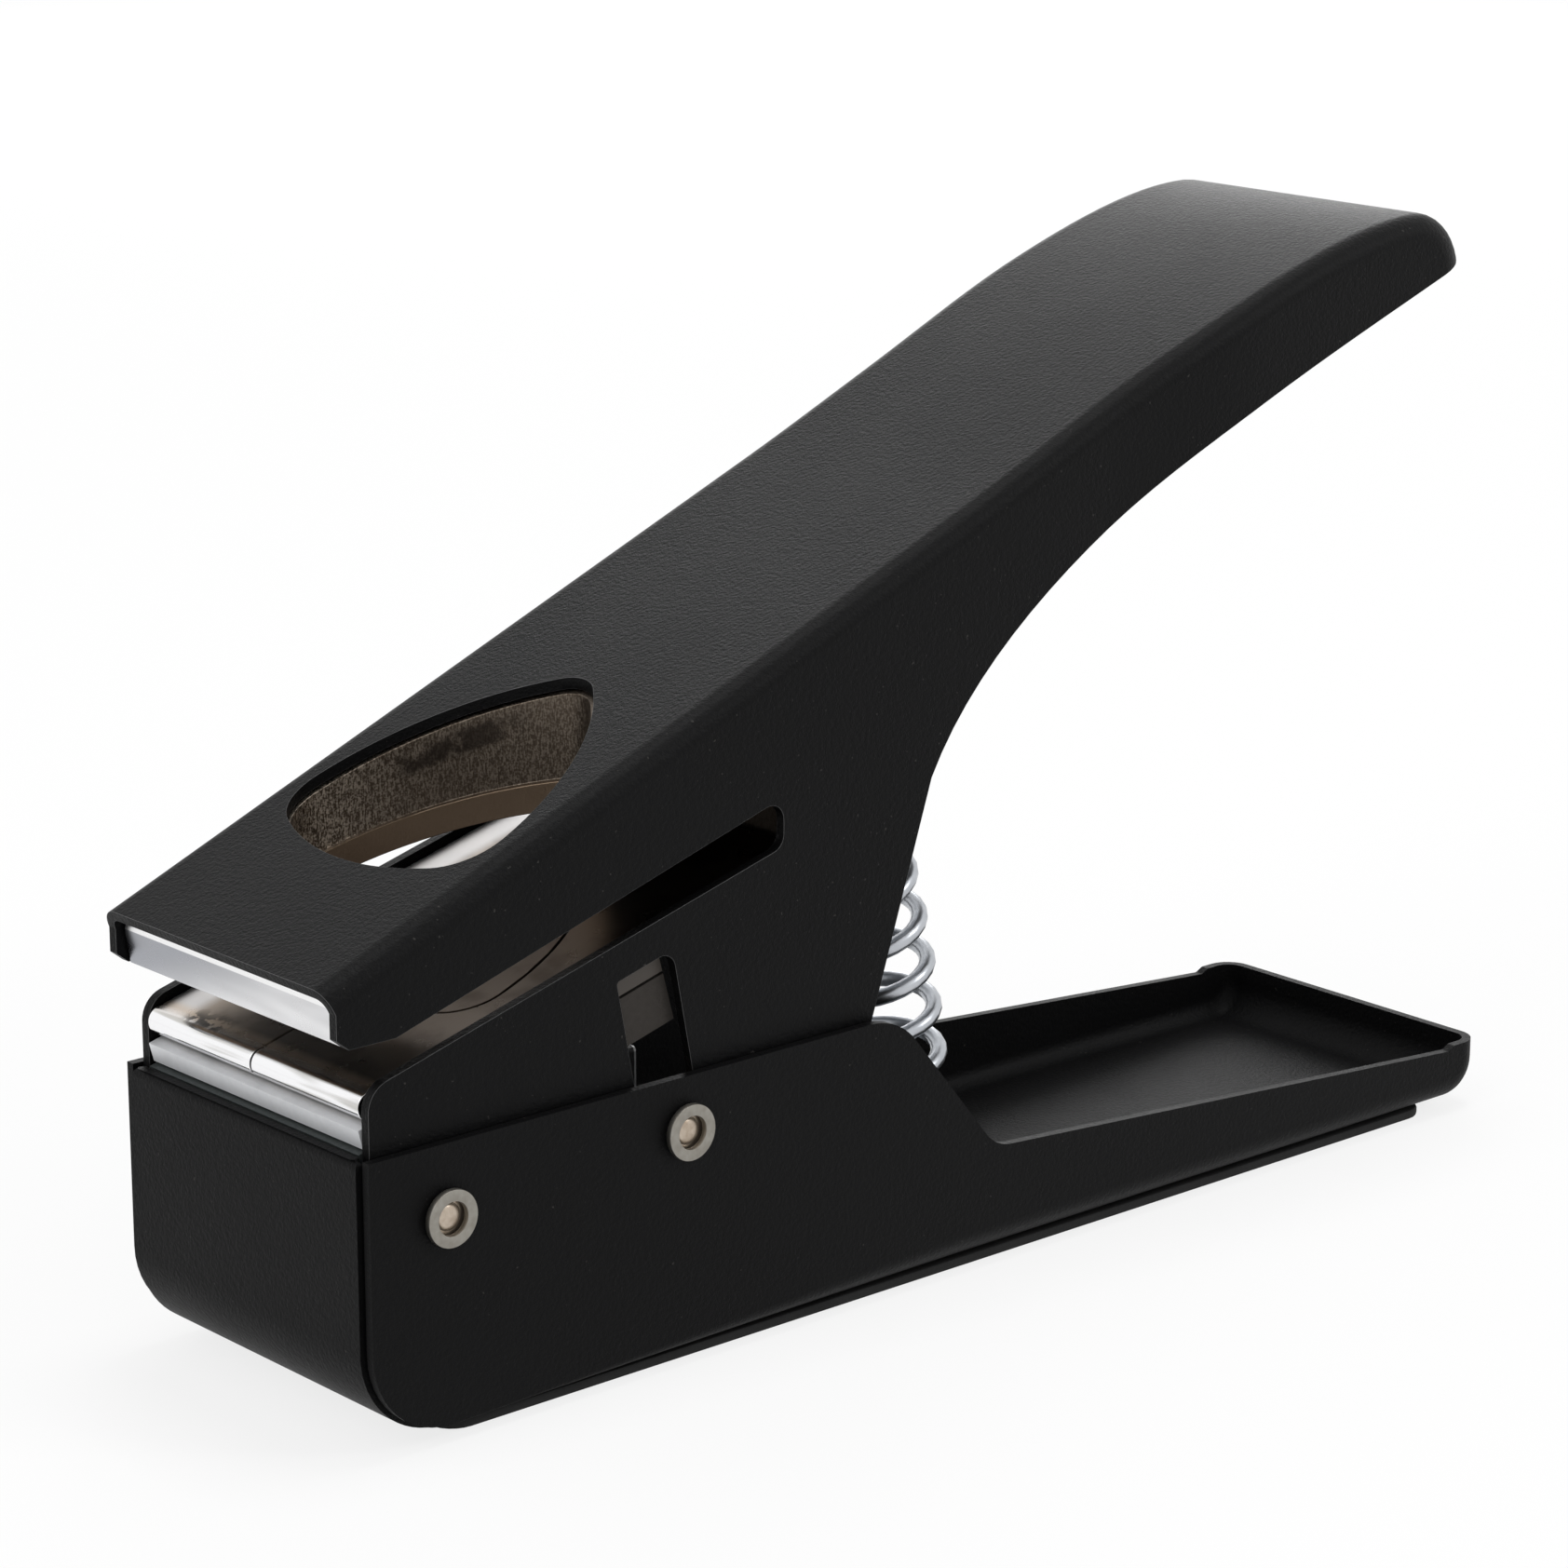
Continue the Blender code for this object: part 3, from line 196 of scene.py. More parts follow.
def tube_across(name, outline, low_y=-CUT_HALF, high_y=CUT_HALF):
    """A bar across the tool: an edge is drawn round a side view and its two ends are filled."""
    points = [place(x, z, low_y) for x, z in outline]
    piece = seed(name, points[0])
    pull((0, (high_y - low_y) * MM, 0))
    choose("EDGE", lambda edge: True)
    draw(points + points[:1])
    weld()
    for side in (low_y, high_y):
        choose("EDGE", lambda edge: all(abs(v.co.y - side * MM) < HAIR for v in edge.verts))
        bpy.ops.mesh.edge_face_add()
    face_out()
    return piece


def applied(piece, kind, **settings):
    """Add a modifier to a piece and apply it."""
    bpy.ops.object.select_all(action="DESELECT")
    piece.select_set(True)
    bpy.context.view_layer.objects.active = piece
    modifier = piece.modifiers.new(kind.lower(), kind)
    for key, value in settings.items():
        setattr(modifier, key, value)
    bpy.ops.object.modifier_apply(modifier=modifier.name)


def machined(piece, cutter, operation="DIFFERENCE", folded=False):
    """Cut a piece by another shape, which is used up. A folded sheet may touch itself."""
    if bpy.context.mode != "OBJECT":
        to_object()
    applied(piece, "BOOLEAN", object=cutter, operation=operation, solver="EXACT",
            use_self=folded)
    bpy.data.objects.remove(cutter)


def drill(piece, centre, radius, depth, rotation, sides=48):
    """Cut a round hole whose middle is at a place."""
    bpy.ops.object.select_all(action="DESELECT")
    bpy.ops.mesh.primitive_cylinder_add(vertices=sides, radius=radius * MM, depth=depth * MM,
                                        location=centre, rotation=rotation)
    bpy.ops.object.transform_apply()
    machined(piece, bpy.context.object)


def smooth(piece, edge, steps=2, sharp=35, worn=None):
    """Take the sharpness off the edges, maybe worn and painted pale as a highlight; shade round
    faces smooth.
    """
    if worn:
        for finish in worn:
            piece.data.materials.append(finish.material)
    if edge:
        applied(piece, "BEVEL", width=edge * MM, segments=steps, limit_method="ANGLE",
                angle_limit=math.radians(sharp), use_clamp_overlap=True,
                material=1 if worn else -1)
        clean(2 * HAIR)
    bpy.ops.object.shade_smooth_by_angle(angle=math.radians(sharp))
    applied(piece, "WEIGHTED_NORMAL", keep_sharp=True, weight=100)


class Reading:
    """A value in a node tree. Sums and products of readings add the maths nodes."""

    def __init__(self, nodes, socket):
        self.nodes = nodes
        self.socket = socket

    def worked(self, operation, first, second):
        return self.nodes.node("ShaderNodeMath", {"operation": operation},
                               {0: first, 1: second})

    def __add__(self, other):
        return self.worked("ADD", self, other)

    def __sub__(self, other):
        return self.worked("SUBTRACT", self, other)

    def __rsub__(self, other):
        return self.worked("SUBTRACT", other, self)

    def __mul__(self, other):
        return self.worked("MULTIPLY", self, other)

    def __truediv__(self, other):
        return self.worked("DIVIDE", self, other)

    __radd__ = __add__
    __rmul__ = __mul__


class Nodes:
    """The node tree of a material or a world, built up node by node."""

    def __init__(self, owner):
        owner.use_nodes = True
        self.tree = owner.node_tree

    def node(self, kind, settings=None, sockets=None, output=0):
        """Add a node: its settings first, then values or readings for its sockets."""
        node = self.tree.nodes.new(kind)
        for key, value in (settings or {}).items():
            setattr(node, key, value)
        for key, value in (sockets or {}).items():
            if isinstance(value, Reading):
                self.tree.links.new(value.socket, node.inputs[key])
            else:
                node.inputs[key].default_value = value
        return Reading(self, node.outputs[output])


class Finish(Nodes):
    """A material whose nodes lead to its Principled shader."""

    def __init__(self, name, **constants):
        self.material = bpy.data.materials.new(name)
        super().__init__(self.material)
        self.shader = self.tree.nodes["Principled BSDF"]
        for socket, value in constants.items():
            self.shader.inputs[socket.replace("_", " ")].default_value = value
        self.here = self.node("ShaderNodeTexCoord", output="Object")

    def noise(self, size, detail=2.0, stretch=(1, 1, 1)):
        """Cloudy noise whose lumps are of a size in millimetres, stretched along the axes."""
        scale = [1 / (size * MM * share) for share in stretch]
        where = self.node("ShaderNodeMapping", {"vector_type": "POINT"},
                          {"Vector": self.here, "Scale": scale})
        return self.node("ShaderNodeTexNoise", None,
                         {"Vector": where, "Scale": 1.0, "Detail": detail})

    def axis(self, name):
        """One object coordinate, in millimetres."""
        split = self.node("ShaderNodeSeparateXYZ", None, {"Vector": self.here}, name)
        return split / MM

    def rise(self, value, low, high):
        """0 below low and 1 above high, smoothly; the other way when low is above high."""
        return self.node("ShaderNodeMapRange", {"interpolation_type": "SMOOTHSTEP"},
                         {"Value": value, "From Min": low, "From Max": high})

    def mixed(self, share, first, second):
        """A colour between two colours."""
        first = (*first, 1) if isinstance(first, tuple) else first
        second = (*second, 1) if isinstance(second, tuple) else second
        return self.node("ShaderNodeMix", {"data_type": "RGBA"},
                         {0: share, 6: first, 7: second}, 2)

    def set(self, socket, reading):
        self.tree.links.new(reading.socket, self.shader.inputs[socket])

    def bumps(self, height, depth, strength=1.0):
        """Relief on the surface, its depth in millimetres."""
        bump = self.node("ShaderNodeBump", None,
                         {"Height": height, "Distance": depth * MM, "Strength": strength})
        self.set("Normal", bump)


def grey(value):
    return (value, value, value)


def dressed(piece, body, slot, finishes, *nodes):
    """Give a piece its finishes, its body and the nodes that it stands for; the slot is not used.
    """
    for finish in finishes:
        piece.data.materials.append(finish.material)
    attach(piece, body)
    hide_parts(*nodes)


def powder_coat(name, colour, gloss, sheen=0.08):
    """Satin black powder coat: a fine pebbled skin, a little uneven in gloss, with dust."""
    coat = Finish(name, Specular_IOR_Level=sheen)
    pebble = coat.noise(0.42, 3.0)
    grain = coat.noise(0.13, 1.0)
    cloud = coat.noise(14.0, 3.0)
    dust = coat.rise(coat.noise(0.5, 1.0), 0.76, 0.8)
    tone = coat.mixed(cloud, tuple(0.8 * c for c in colour), tuple(1.25 * c for c in colour))
    coat.set("Base Color", coat.mixed(dust * 0.35, tone, (0.09, 0.085, 0.08)))
    coat.set("Roughness", gloss + (cloud - 0.5) * 0.08 + (pebble - 0.5) * 0.12)
    coat.bumps(pebble * 0.7 + grain * 0.3, 0.12, 1.0)
    return coat


BASE_LENGTH = 158.6
BASE_HALF = 20.0
WALL = 1.0
UNDERSIDE = 1.4
WALL_TOP = 30.3
FLAP_BEND = 9.5
FLOOR_BEND = 3.0
TRAY_BEND = 4.6
SLIT_X = 0.45
FLAP_HALF = 18.55
FLAP_CORNER = 1.0
FRONT_PIN = (9.5, 23.0)
REAR_PIN = (39.05, 24.7)
PIN_HOLE = 2.3
SHEET_EDGE = 0.16

tray_rear = BASE_LENGTH - TRAY_BEND
bend_height = UNDERSIDE + TRAY_BEND
floor_line = [(FLAP_BEND, UNDERSIDE), (tray_rear / 2, UNDERSIDE)]
floor_line += arc(tray_rear, bend_height, TRAY_BEND, 270, 360, 10)
floor_line.append((BASE_LENGTH, WALL_TOP))
toe = arc(FLAP_BEND, UNDERSIDE + FLAP_BEND, FLAP_BEND - SLIT_X, 180, 270, 12)
base = tube_across("base_sheet", floor_line + [(SLIT_X, WALL_TOP)] + toe,
                   -BASE_HALF, BASE_HALF)


def on_floor_line(edge):
    """Whether an edge runs along a lower side corner or up a rear corner."""
    ends = [v.co for v in edge.verts]
    if any(abs(abs(end.y) - BASE_HALF * MM) > HAIR for end in ends):
        return False
    return ends[0].y * ends[1].y > 0 and all(
        min((end - place(x, z, end.y / MM)).length for x, z in floor_line) < HAIR for end in ends)


def is_joining_top(edge):
    return all(abs(v.co.z - WALL_TOP * MM) < HAIR for v in edge.verts)


choose("EDGE", lambda edge: on_floor_line(edge) and not is_joining_top(edge))
bpy.ops.mesh.bevel(offset=FLOOR_BEND * MM, segments=8, affect="EDGES", clamp_overlap=False)
choose("FACE", lambda face: abs(face.normal.y) < 0.5 and (
    face.calc_center_median().x < place(FLAP_BEND, 0).x + HAIR
    or (face.normal.z > 0.9 and face.calc_center_median().z > (WALL_TOP - 0.01) * MM)))
bpy.ops.mesh.delete(type="FACE")
to_object()
applied(base, "SOLIDIFY", thickness=WALL * MM, offset=-1, use_even_offset=True)

flap_line = [(0, WALL_TOP)] + arc(FLAP_BEND, UNDERSIDE + FLAP_BEND, FLAP_BEND, 180, 270, 16)
inner_line = arc(FLAP_BEND, UNDERSIDE + FLAP_BEND, FLAP_BEND - WALL, 270, 180, 16)
flap = tube_across("flap", flap_line + inner_line + [(WALL, WALL_TOP)], -FLAP_HALF, FLAP_HALF)
choose("EDGE", lambda edge: abs(middle_of(edge).z - WALL_TOP * MM) < HAIR
       and all(abs(abs(v.co.y) - FLAP_HALF * MM) < HAIR for v in edge.verts))
bpy.ops.mesh.bevel(offset=FLAP_CORNER * MM, segments=5, affect="EDGES")
to_object()
machined(base, flap, "UNION")

RIM_X = 67.3
RIM_FRONT = RIM_X - 8.0
RIM_Z = UNDERSIDE + 12.7
RIM_FALL = math.tan(math.radians(4.3))
RIM_STEP = 0.5
STEP_LENGTH = 5.7
SHOULDER_FALL = math.tan(math.radians(51.0))
SHOULDER_ROUND = 8.0
FOOT_ROUND = 5.0
ABOVE_WALL = WALL_TOP + 5.0
BEHIND_BASE = BASE_LENGTH + 5.0
foot_x = RIM_X + (WALL_TOP - RIM_Z) / (SHOULDER_FALL - RIM_FALL)
foot_z = RIM_Z - RIM_FALL * (foot_x - RIM_X)
step_x = BASE_LENGTH - STEP_LENGTH
step_z = RIM_Z - RIM_FALL * (step_x - RIM_X)
machined(base, tube_across("rim_trim", rounded([
    (RIM_FRONT, ABOVE_WALL, 0), (RIM_FRONT, WALL_TOP, 0), (RIM_X, WALL_TOP, SHOULDER_ROUND),
    (foot_x, foot_z, FOOT_ROUND), (step_x, step_z, RIM_STEP),
    (step_x + 1.0, step_z + RIM_STEP, RIM_STEP), (BEHIND_BASE, step_z + RIM_STEP, 0),
    (BEHIND_BASE, ABOVE_WALL, 0),
], 10)))
for pin in (FRONT_PIN, REAR_PIN):
    drill(base, place(*pin), PIN_HOLE, 2 * CUT_HALF, ACROSS)
base_coat = powder_coat("black powder coat on the base", (0.003, 0.003, 0.0032), 0.5)
# The edges get a paler coat: partly wear and partly a painted highlight.
worn_and_highlit_coat = powder_coat("coat worn thin and painted pale as a highlight on the edges", (0.09, 0.09, 0.092), 0.32, 0.6)
smooth(base, SHEET_EDGE, worn=[base_coat, worn_and_highlit_coat])
dressed(base, "base", "black_powder_coat", [], "base_shell")


# Rubber mat
# A sheet of black rubber under the base, set in from its edges, that keeps the tool from
# sliding. It is die cut and glued on, and its edge has a matt, slightly dusty skin.

MAT_FRONT = 10.2
MAT_REAR = 151.6
MAT_THICK = 1.1
MAT_HALF = 18.3
MAT_CORNER = 3.0

rubber = Finish("black rubber", Specular_IOR_Level=0.25)
rubber_skin = rubber.noise(0.35, 3.0)
rubber.set("Base Color", rubber.mixed(rubber.noise(6.0, 3.0), grey(0.008), grey(0.022)))
rubber.set("Roughness", 0.72 + rubber_skin * 0.15)
rubber.bumps(rubber_skin, 0.06, 0.5)
mat = tube_across("rubber_sheet", [(MAT_FRONT, 0), (MAT_REAR, 0), (MAT_REAR, MAT_THICK),
                                   (MAT_FRONT, MAT_THICK)], -MAT_HALF, MAT_HALF)
choose("EDGE", lambda edge: abs(edge.verts[0].co.z - edge.verts[1].co.z) > MAT_THICK / 2 * MM)
bpy.ops.mesh.bevel(offset=MAT_CORNER * MM, segments=6, affect="EDGES")
to_object()
smooth(mat, 0.3)
dressed(mat, "base", "black_rubber", [rubber], "nonslip_mat")


# Pins and their collars
# Two turned steel pins cross the base, dulled to a brownish brass tone. Each domed end stands
# inside a nickelled steel collar that is pressed on outside the wall and stands a millimetre proud.

PIN_RADIUS = 2.0
DOME_RADIUS = 1.42
DOME_FOOT = 0.05
DOME_RISE = 0.5
COLLAR_RADIUS = 2.9
COLLAR_BORE = 1.72
COLLAR_SEAT = 0.3
COLLAR_PROUD = 1.0


def lathe(name, profile, x, z):
    """Turn a half outline of (radius, y) points round an axis across the tool."""
    points = [place(x, z + radius, along) for radius, along in profile]
    piece = seed(name, points[0])
    draw(points)
    bpy.ops.mesh.select_all(action="SELECT")
    bpy.ops.mesh.spin(steps=64, angle=math.tau, center=place(x, z), axis=(0, 1, 0))
    weld()
    face_out()
    to_object()
    return piece


def metal(name, colours, clouds, gloss, spread, grain, depth, relief, detail=2.0):
    """A metal whose thin film clouds its colour and gloss, over a fine grain."""
    finish = Finish(name, Metallic=1.0)
    film = finish.noise(clouds, 3.0)
    finish.set("Base Color", finish.mixed(film, *colours))
    finish.set("Roughness", gloss + film * spread)
    finish.bumps(finish.noise(grain, detail), depth, relief)
    return finish


brass = metal("aged brass tone", ((0.66, 0.58, 0.49), (0.26, 0.19, 0.13)), clouds=0.9,
              gloss=0.24, spread=0.22, grain=0.12, depth=0.02, relief=0.3, detail=1.0)
nickel = metal("nickelled steel", ((0.34, 0.33, 0.30), (0.22, 0.20, 0.17)), clouds=0.8,
               gloss=0.34, spread=0.2, grain=0.1, depth=0.02, relief=0.4)

for name, (pin_x, pin_z) in (("front_pivot_pin", FRONT_PIN), ("rear_punch_pin", REAR_PIN)):
    dome = [(DOME_RADIUS * math.cos(t), BASE_HALF + DOME_FOOT + DOME_RISE * math.sin(t))
            for t in (math.radians(90 * step / 10) for step in range(11))]
    half = [(PIN_RADIUS, BASE_HALF), (DOME_RADIUS, BASE_HALF)] + dome
    profile = [(radius, -along) for radius, along in reversed(half)] + half
    pin = lathe("turned_" + name, profile, pin_x, pin_z)
    smooth(pin, 0)
    dressed(pin, "base", "aged_brass", [brass], name)

for name, (pin_x, pin_z) in (("front_pin_collar", FRONT_PIN), ("rear_pin_collar", REAR_PIN)):
    for side, end in ((-1, "_left"), (1, "_right")):
        inner = side * (BASE_HALF + COLLAR_SEAT)
        outer = side * (BASE_HALF + COLLAR_PROUD)
        profile = [(COLLAR_BORE, inner), (COLLAR_RADIUS, inner), (COLLAR_RADIUS, outer),
                   (COLLAR_BORE, outer), (COLLAR_BORE, inner)]
        collar = lathe("turned_" + name + end, profile, pin_x, pin_z)
        smooth(collar, 0.1)
        dressed(collar, "base", "nickel", [nickel], name + end)


# Handle sheet
# One channel of 1.1 mm steel, deep drawn and bent, with a pick-shaped window in its top, an open
# card slot along its front and a notch round the rear pin. It is powder coated satin black, and
# the coat is worn thin on its edges and painted paler there as a highlight.

SHEET = 1.1
SHEET_BEND = 2.4
HANDLE_HALF = 18.7
SLOPE = math.radians(22.54)
NOSE = (-2.8, 47.21)
JAW_SLOPE = math.tan(math.radians(15.19))
JAW_ORIGIN = (0.98, 35.82)
SLOT_GAP = 0.9
MOUTH_X = 4.9
MOUTH = 4.5
DIE_TOE = -0.5
DIE_SLOPE = math.tan(math.radians(16.8))


def guide_top(x):
    """Height of the lower jaw's top face."""
    return JAW_ORIGIN[1] + JAW_SLOPE * (x - JAW_ORIGIN[0])


def slot_floor(x):
    """Height of the lower edge of the card slot."""
    return guide_top(x) + SLOT_GAP


MOUTH_Z = guide_top(MOUTH_X) + MOUTH


def die_bottom(x):
    """Height of the upper jaw's sloping under face."""
    return MOUTH_Z + DIE_SLOPE * (x - MOUTH_X)


def curve(start, first, second, end, steps):
    """Side view points on a cubic curve."""
    a, b, c, d = (Vector(point) for point in (start, first, second, end))
    points = []
    for step in range(steps + 1):
        t = step / steps
        s = 1 - t
        points.append(tuple(a * s**3 + 3 * b * s * s * t + 3 * c * s * t * t + d * t**3))
    return points


def from_point(point, distance, angle):
    """A side view point at a distance from another, at an angle above level."""
    return (point[0] + distance * math.cos(angle), point[1] + distance * math.sin(angle))


TOP_RUN = 82.5
TOP_LEAD = 18.5
END_RUN = 65.2
END_LEAD = 16.7
END_RISE = 22.95
END_BEND = 7.5
END_FOLD = 4.5
TAIL = 8.0
LOW = 8.0
FLARE = 0.9
FLARE_START = NOSE[0] + 99.6
FLARE_RUN = 22.6
FLARE_PAST = 2.0
bend_start = (NOSE[0] + TOP_RUN, NOSE[1] + TOP_RUN * math.tan(SLOPE))
top_end = (bend_start[0] + END_RUN, bend_start[1] + END_RISE)
top_line = [NOSE, (NOSE[0] + TOP_RUN / 2, NOSE[1] + TOP_RUN / 2 * math.tan(SLOPE))]
top_line += curve(bend_start, from_point(bend_start, TOP_LEAD, SLOPE),
                  (top_end[0] - END_LEAD, top_end[1]), top_end, 28)
end_line = arc(top_end[0], top_end[1] - END_BEND, END_BEND, 90, 0, 10)
tail = (end_line[-1][0], end_line[-1][1] - TAIL)
top_line += end_line[1:] + [tail]
brow = (NOSE[0] + SHEET_BEND * math.sin(SLOPE), NOSE[1] - SHEET_BEND * math.cos(SLOPE))
handle = tube_across("handle_sheet", top_line + [(tail[0], LOW), (brow[0], LOW), brow],
                     -HANDLE_HALF, HANDLE_HALF)


def flare(x):
    """How much wider the handle is at each side, from its straight front to its grip."""
    share = min(max((x - FLARE_START) / FLARE_RUN, 0), 1)
    return FLARE * share * share * (3 - 2 * share)


flare_end = FLARE_START + FLARE_RUN
flare_line = [x for x, z in top_line if FLARE_START - FLARE_PAST < x < flare_end + FLARE_PAST]
for x in flare_line:
    bpy.ops.mesh.select_all(action="SELECT")
    bpy.ops.mesh.bisect(plane_co=place(x, 0), plane_no=(1, 0, 0))
for side in (-1, 1):
    for x in flare_line:
        choose("VERT", lambda v: v.co.y * side > 0 and abs(v.co.x - place(x, 0).x) < HAIR)
        bpy.ops.transform.translate(value=(0, side * flare(x) * MM, 0))
    choose("VERT", lambda v: v.co.y * side > 0 and v.co.x > place(flare_line[-1], 0).x + HAIR)
    bpy.ops.transform.translate(value=(0, side * FLARE * MM, 0))


def on_line(edge, line):
    """Whether an edge runs along a side view line, on one side of the handle."""
    ends = [v.co for v in edge.verts]
    return ends[0].y * ends[1].y > 0 and all(
        min((end - place(x, z, end.y / MM)).length for x, z in line) < HAIR for end in ends)


choose("EDGE", lambda edge: on_line(edge, top_line))
bpy.ops.transform.edge_bevelweight(value=SHEET_BEND / END_FOLD)
for step in range(len(end_line)):
    wider = (1 - SHEET_BEND / END_FOLD) * min((step + 0.5) / (len(end_line) - 1), 1)
    choose("EDGE", lambda edge: on_line(edge, (end_line + [tail])[step:step + 2]))
    bpy.ops.transform.edge_bevelweight(value=wider)
to_object()
applied(handle, "BEVEL", width=END_FOLD * MM, segments=8, limit_method="WEIGHT",
        use_clamp_overlap=False)
to_edit()
weld(10 * HAIR)
choose("FACE", lambda face: abs(face.normal.y) < 0.3 and (
    face.normal.z < -0.9 and face.calc_center_median().z < (LOW + 1) * MM
    or face.calc_center_median().x < place(brow[0], 0).x + 20 * HAIR
    or face.calc_center_median().x > place(tail[0], 0).x - HAIR
    and face.calc_center_median().z < tail[1] * MM))
bpy.ops.mesh.delete(type="FACE")
to_object()
applied(handle, "SOLIDIFY", thickness=SHEET * MM, offset=-1, use_even_offset=True)

KINK = (NOSE[0] + 75.65, NOSE[1] + 7.1)
KINK_SLOPE = math.radians(62.2)
THROAT_REAR = (NOSE[0] + 152.75, NOSE[1] + 51.2)
THROAT_SLOPE = math.radians(20.6)
THROAT_LEAD = 25.2
EAR_RADIUS = 8.0
EAR_X = FRONT_PIN[0] - EAR_RADIUS
EAR_ROUND = 3.0
EAR_FOOT = 17.0
HEEL = (63.0, 24.8)
HEEL_ROUND = 3.0
SLOT_END = 52.9
SLOT_ROUND = 1.7
BEFORE_NOSE = NOSE[0] - 5.0
ABOVE_GRIP = 170.0
throat = curve(THROAT_REAR, from_point(THROAT_REAR, -THROAT_LEAD, THROAT_SLOPE),
               from_point(KINK, THROAT_LEAD, KINK_SLOPE), KINK, 28)
far_x = THROAT_REAR[0] + 70.0
profile = rounded([
    (EAR_X, FRONT_PIN[1], 0), (EAR_X, slot_floor(EAR_X), EAR_ROUND),
    (SLOT_END, slot_floor(SLOT_END), SLOT_ROUND), (SLOT_END, die_bottom(SLOT_END), SLOT_ROUND),
    (MOUTH_X, MOUTH_Z, 0), (DIE_TOE, MOUTH_Z, 0), (BEFORE_NOSE, NOSE[1], 0),
    (BEFORE_NOSE, ABOVE_GRIP, 0), (far_x, ABOVE_GRIP, 0),
], 8)
profile += [(far_x, THROAT_REAR[1] + (far_x - THROAT_REAR[0]) * math.tan(THROAT_SLOPE))]
profile += throat
profile += rounded([(*KINK, 0), (*HEEL, HEEL_ROUND), (REAR_PIN[0], EAR_FOOT, 0)])[1:]
profile += arc(*FRONT_PIN, EAR_RADIUS, 270, 180, 12)[:-1]
machined(handle, tube_across("handle_profile", profile), "INTERSECT", True)
clean(10 * HAIR)

PIN_TRAVEL = Vector((-1.45, 7.6)).normalized()
NOTCH_REACH = 2.9
NOTCH_AHEAD = 4.4
NOTCH_ROOF = 3.8
NOTCH_ROUND = 2.2
ROOF_ROUND_REAR = 1.6
ROOF_ROUND_FRONT = 0.4
ahead = Vector((-PIN_TRAVEL.y, PIN_TRAVEL.x))
notch_foot = Vector(REAR_PIN) - NOTCH_REACH * PIN_TRAVEL


def notch_top(start):
    """Where a side of the notch, along the pin's travel, meets the notch's roof."""
    climb = slot_floor(start.x) - NOTCH_ROOF - start.y
    return start + climb / (PIN_TRAVEL.y - JAW_SLOPE * PIN_TRAVEL.x) * PIN_TRAVEL


notch_front = notch_foot + NOTCH_AHEAD * ahead
notch_rear = notch_foot - NOTCH_REACH * ahead
notch = rounded([(*notch_front, NOTCH_ROUND), (*notch_rear, NOTCH_ROUND),
                 (*notch_top(notch_rear), ROOF_ROUND_REAR),
                 (*notch_top(notch_front), ROOF_ROUND_FRONT)])
machined(handle, tube_across("handle_notch", notch))
drill(handle, place(*FRONT_PIN), PIN_HOLE, 2 * CUT_HALF, ACROSS)

BLUNT_END = 12.2
TIP_END = 42.7
PICK_HALF = 15.1
BLUNT_ROUND = 29.0
CORNER_ROUND = 6.0
SIDE_ROUND = 30.0
TIP_ROUND = 4.5
WINDOW_LOW = 43.0
ABOVE_TOP = 90.0


def pick_outline(inset):
    """The pick's outline in plan, as (x, y) points on arcs that meet smoothly."""
    blunt = Vector((BLUNT_END + BLUNT_ROUND, 0))
    tip = Vector((TIP_END - TIP_ROUND, 0))
    shoulder_y = PICK_HALF - CORNER_ROUND
    shoulder_x = blunt.x - math.sqrt((BLUNT_ROUND - CORNER_ROUND)**2 - shoulder_y**2)
    shoulder = Vector((shoulder_x, shoulder_y))
    line = tip - shoulder
    to_shoulder = SIDE_ROUND - CORNER_ROUND
    to_tip = SIDE_ROUND - TIP_ROUND
    along = (to_shoulder**2 - to_tip**2 + line.length_squared) / (2 * line.length)
    across = math.sqrt(to_shoulder**2 - along**2)
    line.normalize()
    side = shoulder + along * line + across * Vector((line.y, -line.x))

    def heading(centre, point):
        return math.degrees(math.atan2(point.y - centre.y, point.x - centre.x))

    turns = [180, heading(blunt, shoulder), heading(side, shoulder), heading(side, tip), 0]
    rounds = [(blunt, BLUNT_ROUND, 10), (shoulder, CORNER_ROUND, 10), (side, SIDE_ROUND, 16),
              (tip, TIP_ROUND, 10)]
    half = []
    for (centre, radius, steps), start, end in zip(rounds, turns, turns[1:]):
        half += arc(centre.x, centre.y, radius - inset, start, end, steps)[1 if half else 0:]
    return half + [(x, -y) for x, y in reversed(half[1:-1])]


def standing(name, outline, low, high):
    """An upright bar: a point is drawn round a plan outline, filled, and pulled up."""
    points = [place(x, low, y) for x, y in outline]
    piece = seed(name, points[0])
    draw(points + points[:1])
    weld()
    bpy.ops.mesh.edge_face_add()
    pull((0, 0, (high - low) * MM))
    face_out()
    return piece


machined(handle, standing("handle_window", pick_outline(0), WINDOW_LOW, ABOVE_TOP))
handle_coat = powder_coat("black powder coat on the handle", (0.003, 0.003, 0.0032), 0.42)
smooth(handle, SHEET_EDGE, worn=[handle_coat, worn_and_highlit_coat])
dressed(handle, "handle", "black_powder_coat", [], "handle_shell")


# Upper die block
# A wedge of steel inside the handle's nose, with a small lip along its chromed front and a stop
# for the card behind the guides. The pick-shaped hole through it is wire cut, with a wider bore
# above a 3 mm cutting edge, and has a dull brownish nickel wall.

DIE_HALF = 17.3
STOP_FRONT = 56.06
STOP_FOOT = 47.79
DIE_REAR = 57.56
DIE_CORNER = 1.3
LIP_Z = 44.95
LIP_TOP = LIP_Z + 0.65
LIP_BACK = 0.6
LIP_FACE = -0.85
LIP_EDGE = -1.05
BELOW_DIE = 36.0
HOLE_INSET = 0.85
RELIEF_INSET = 0.3
CUTTING_EDGE = 3.0
die_depth = SHEET + 0.3


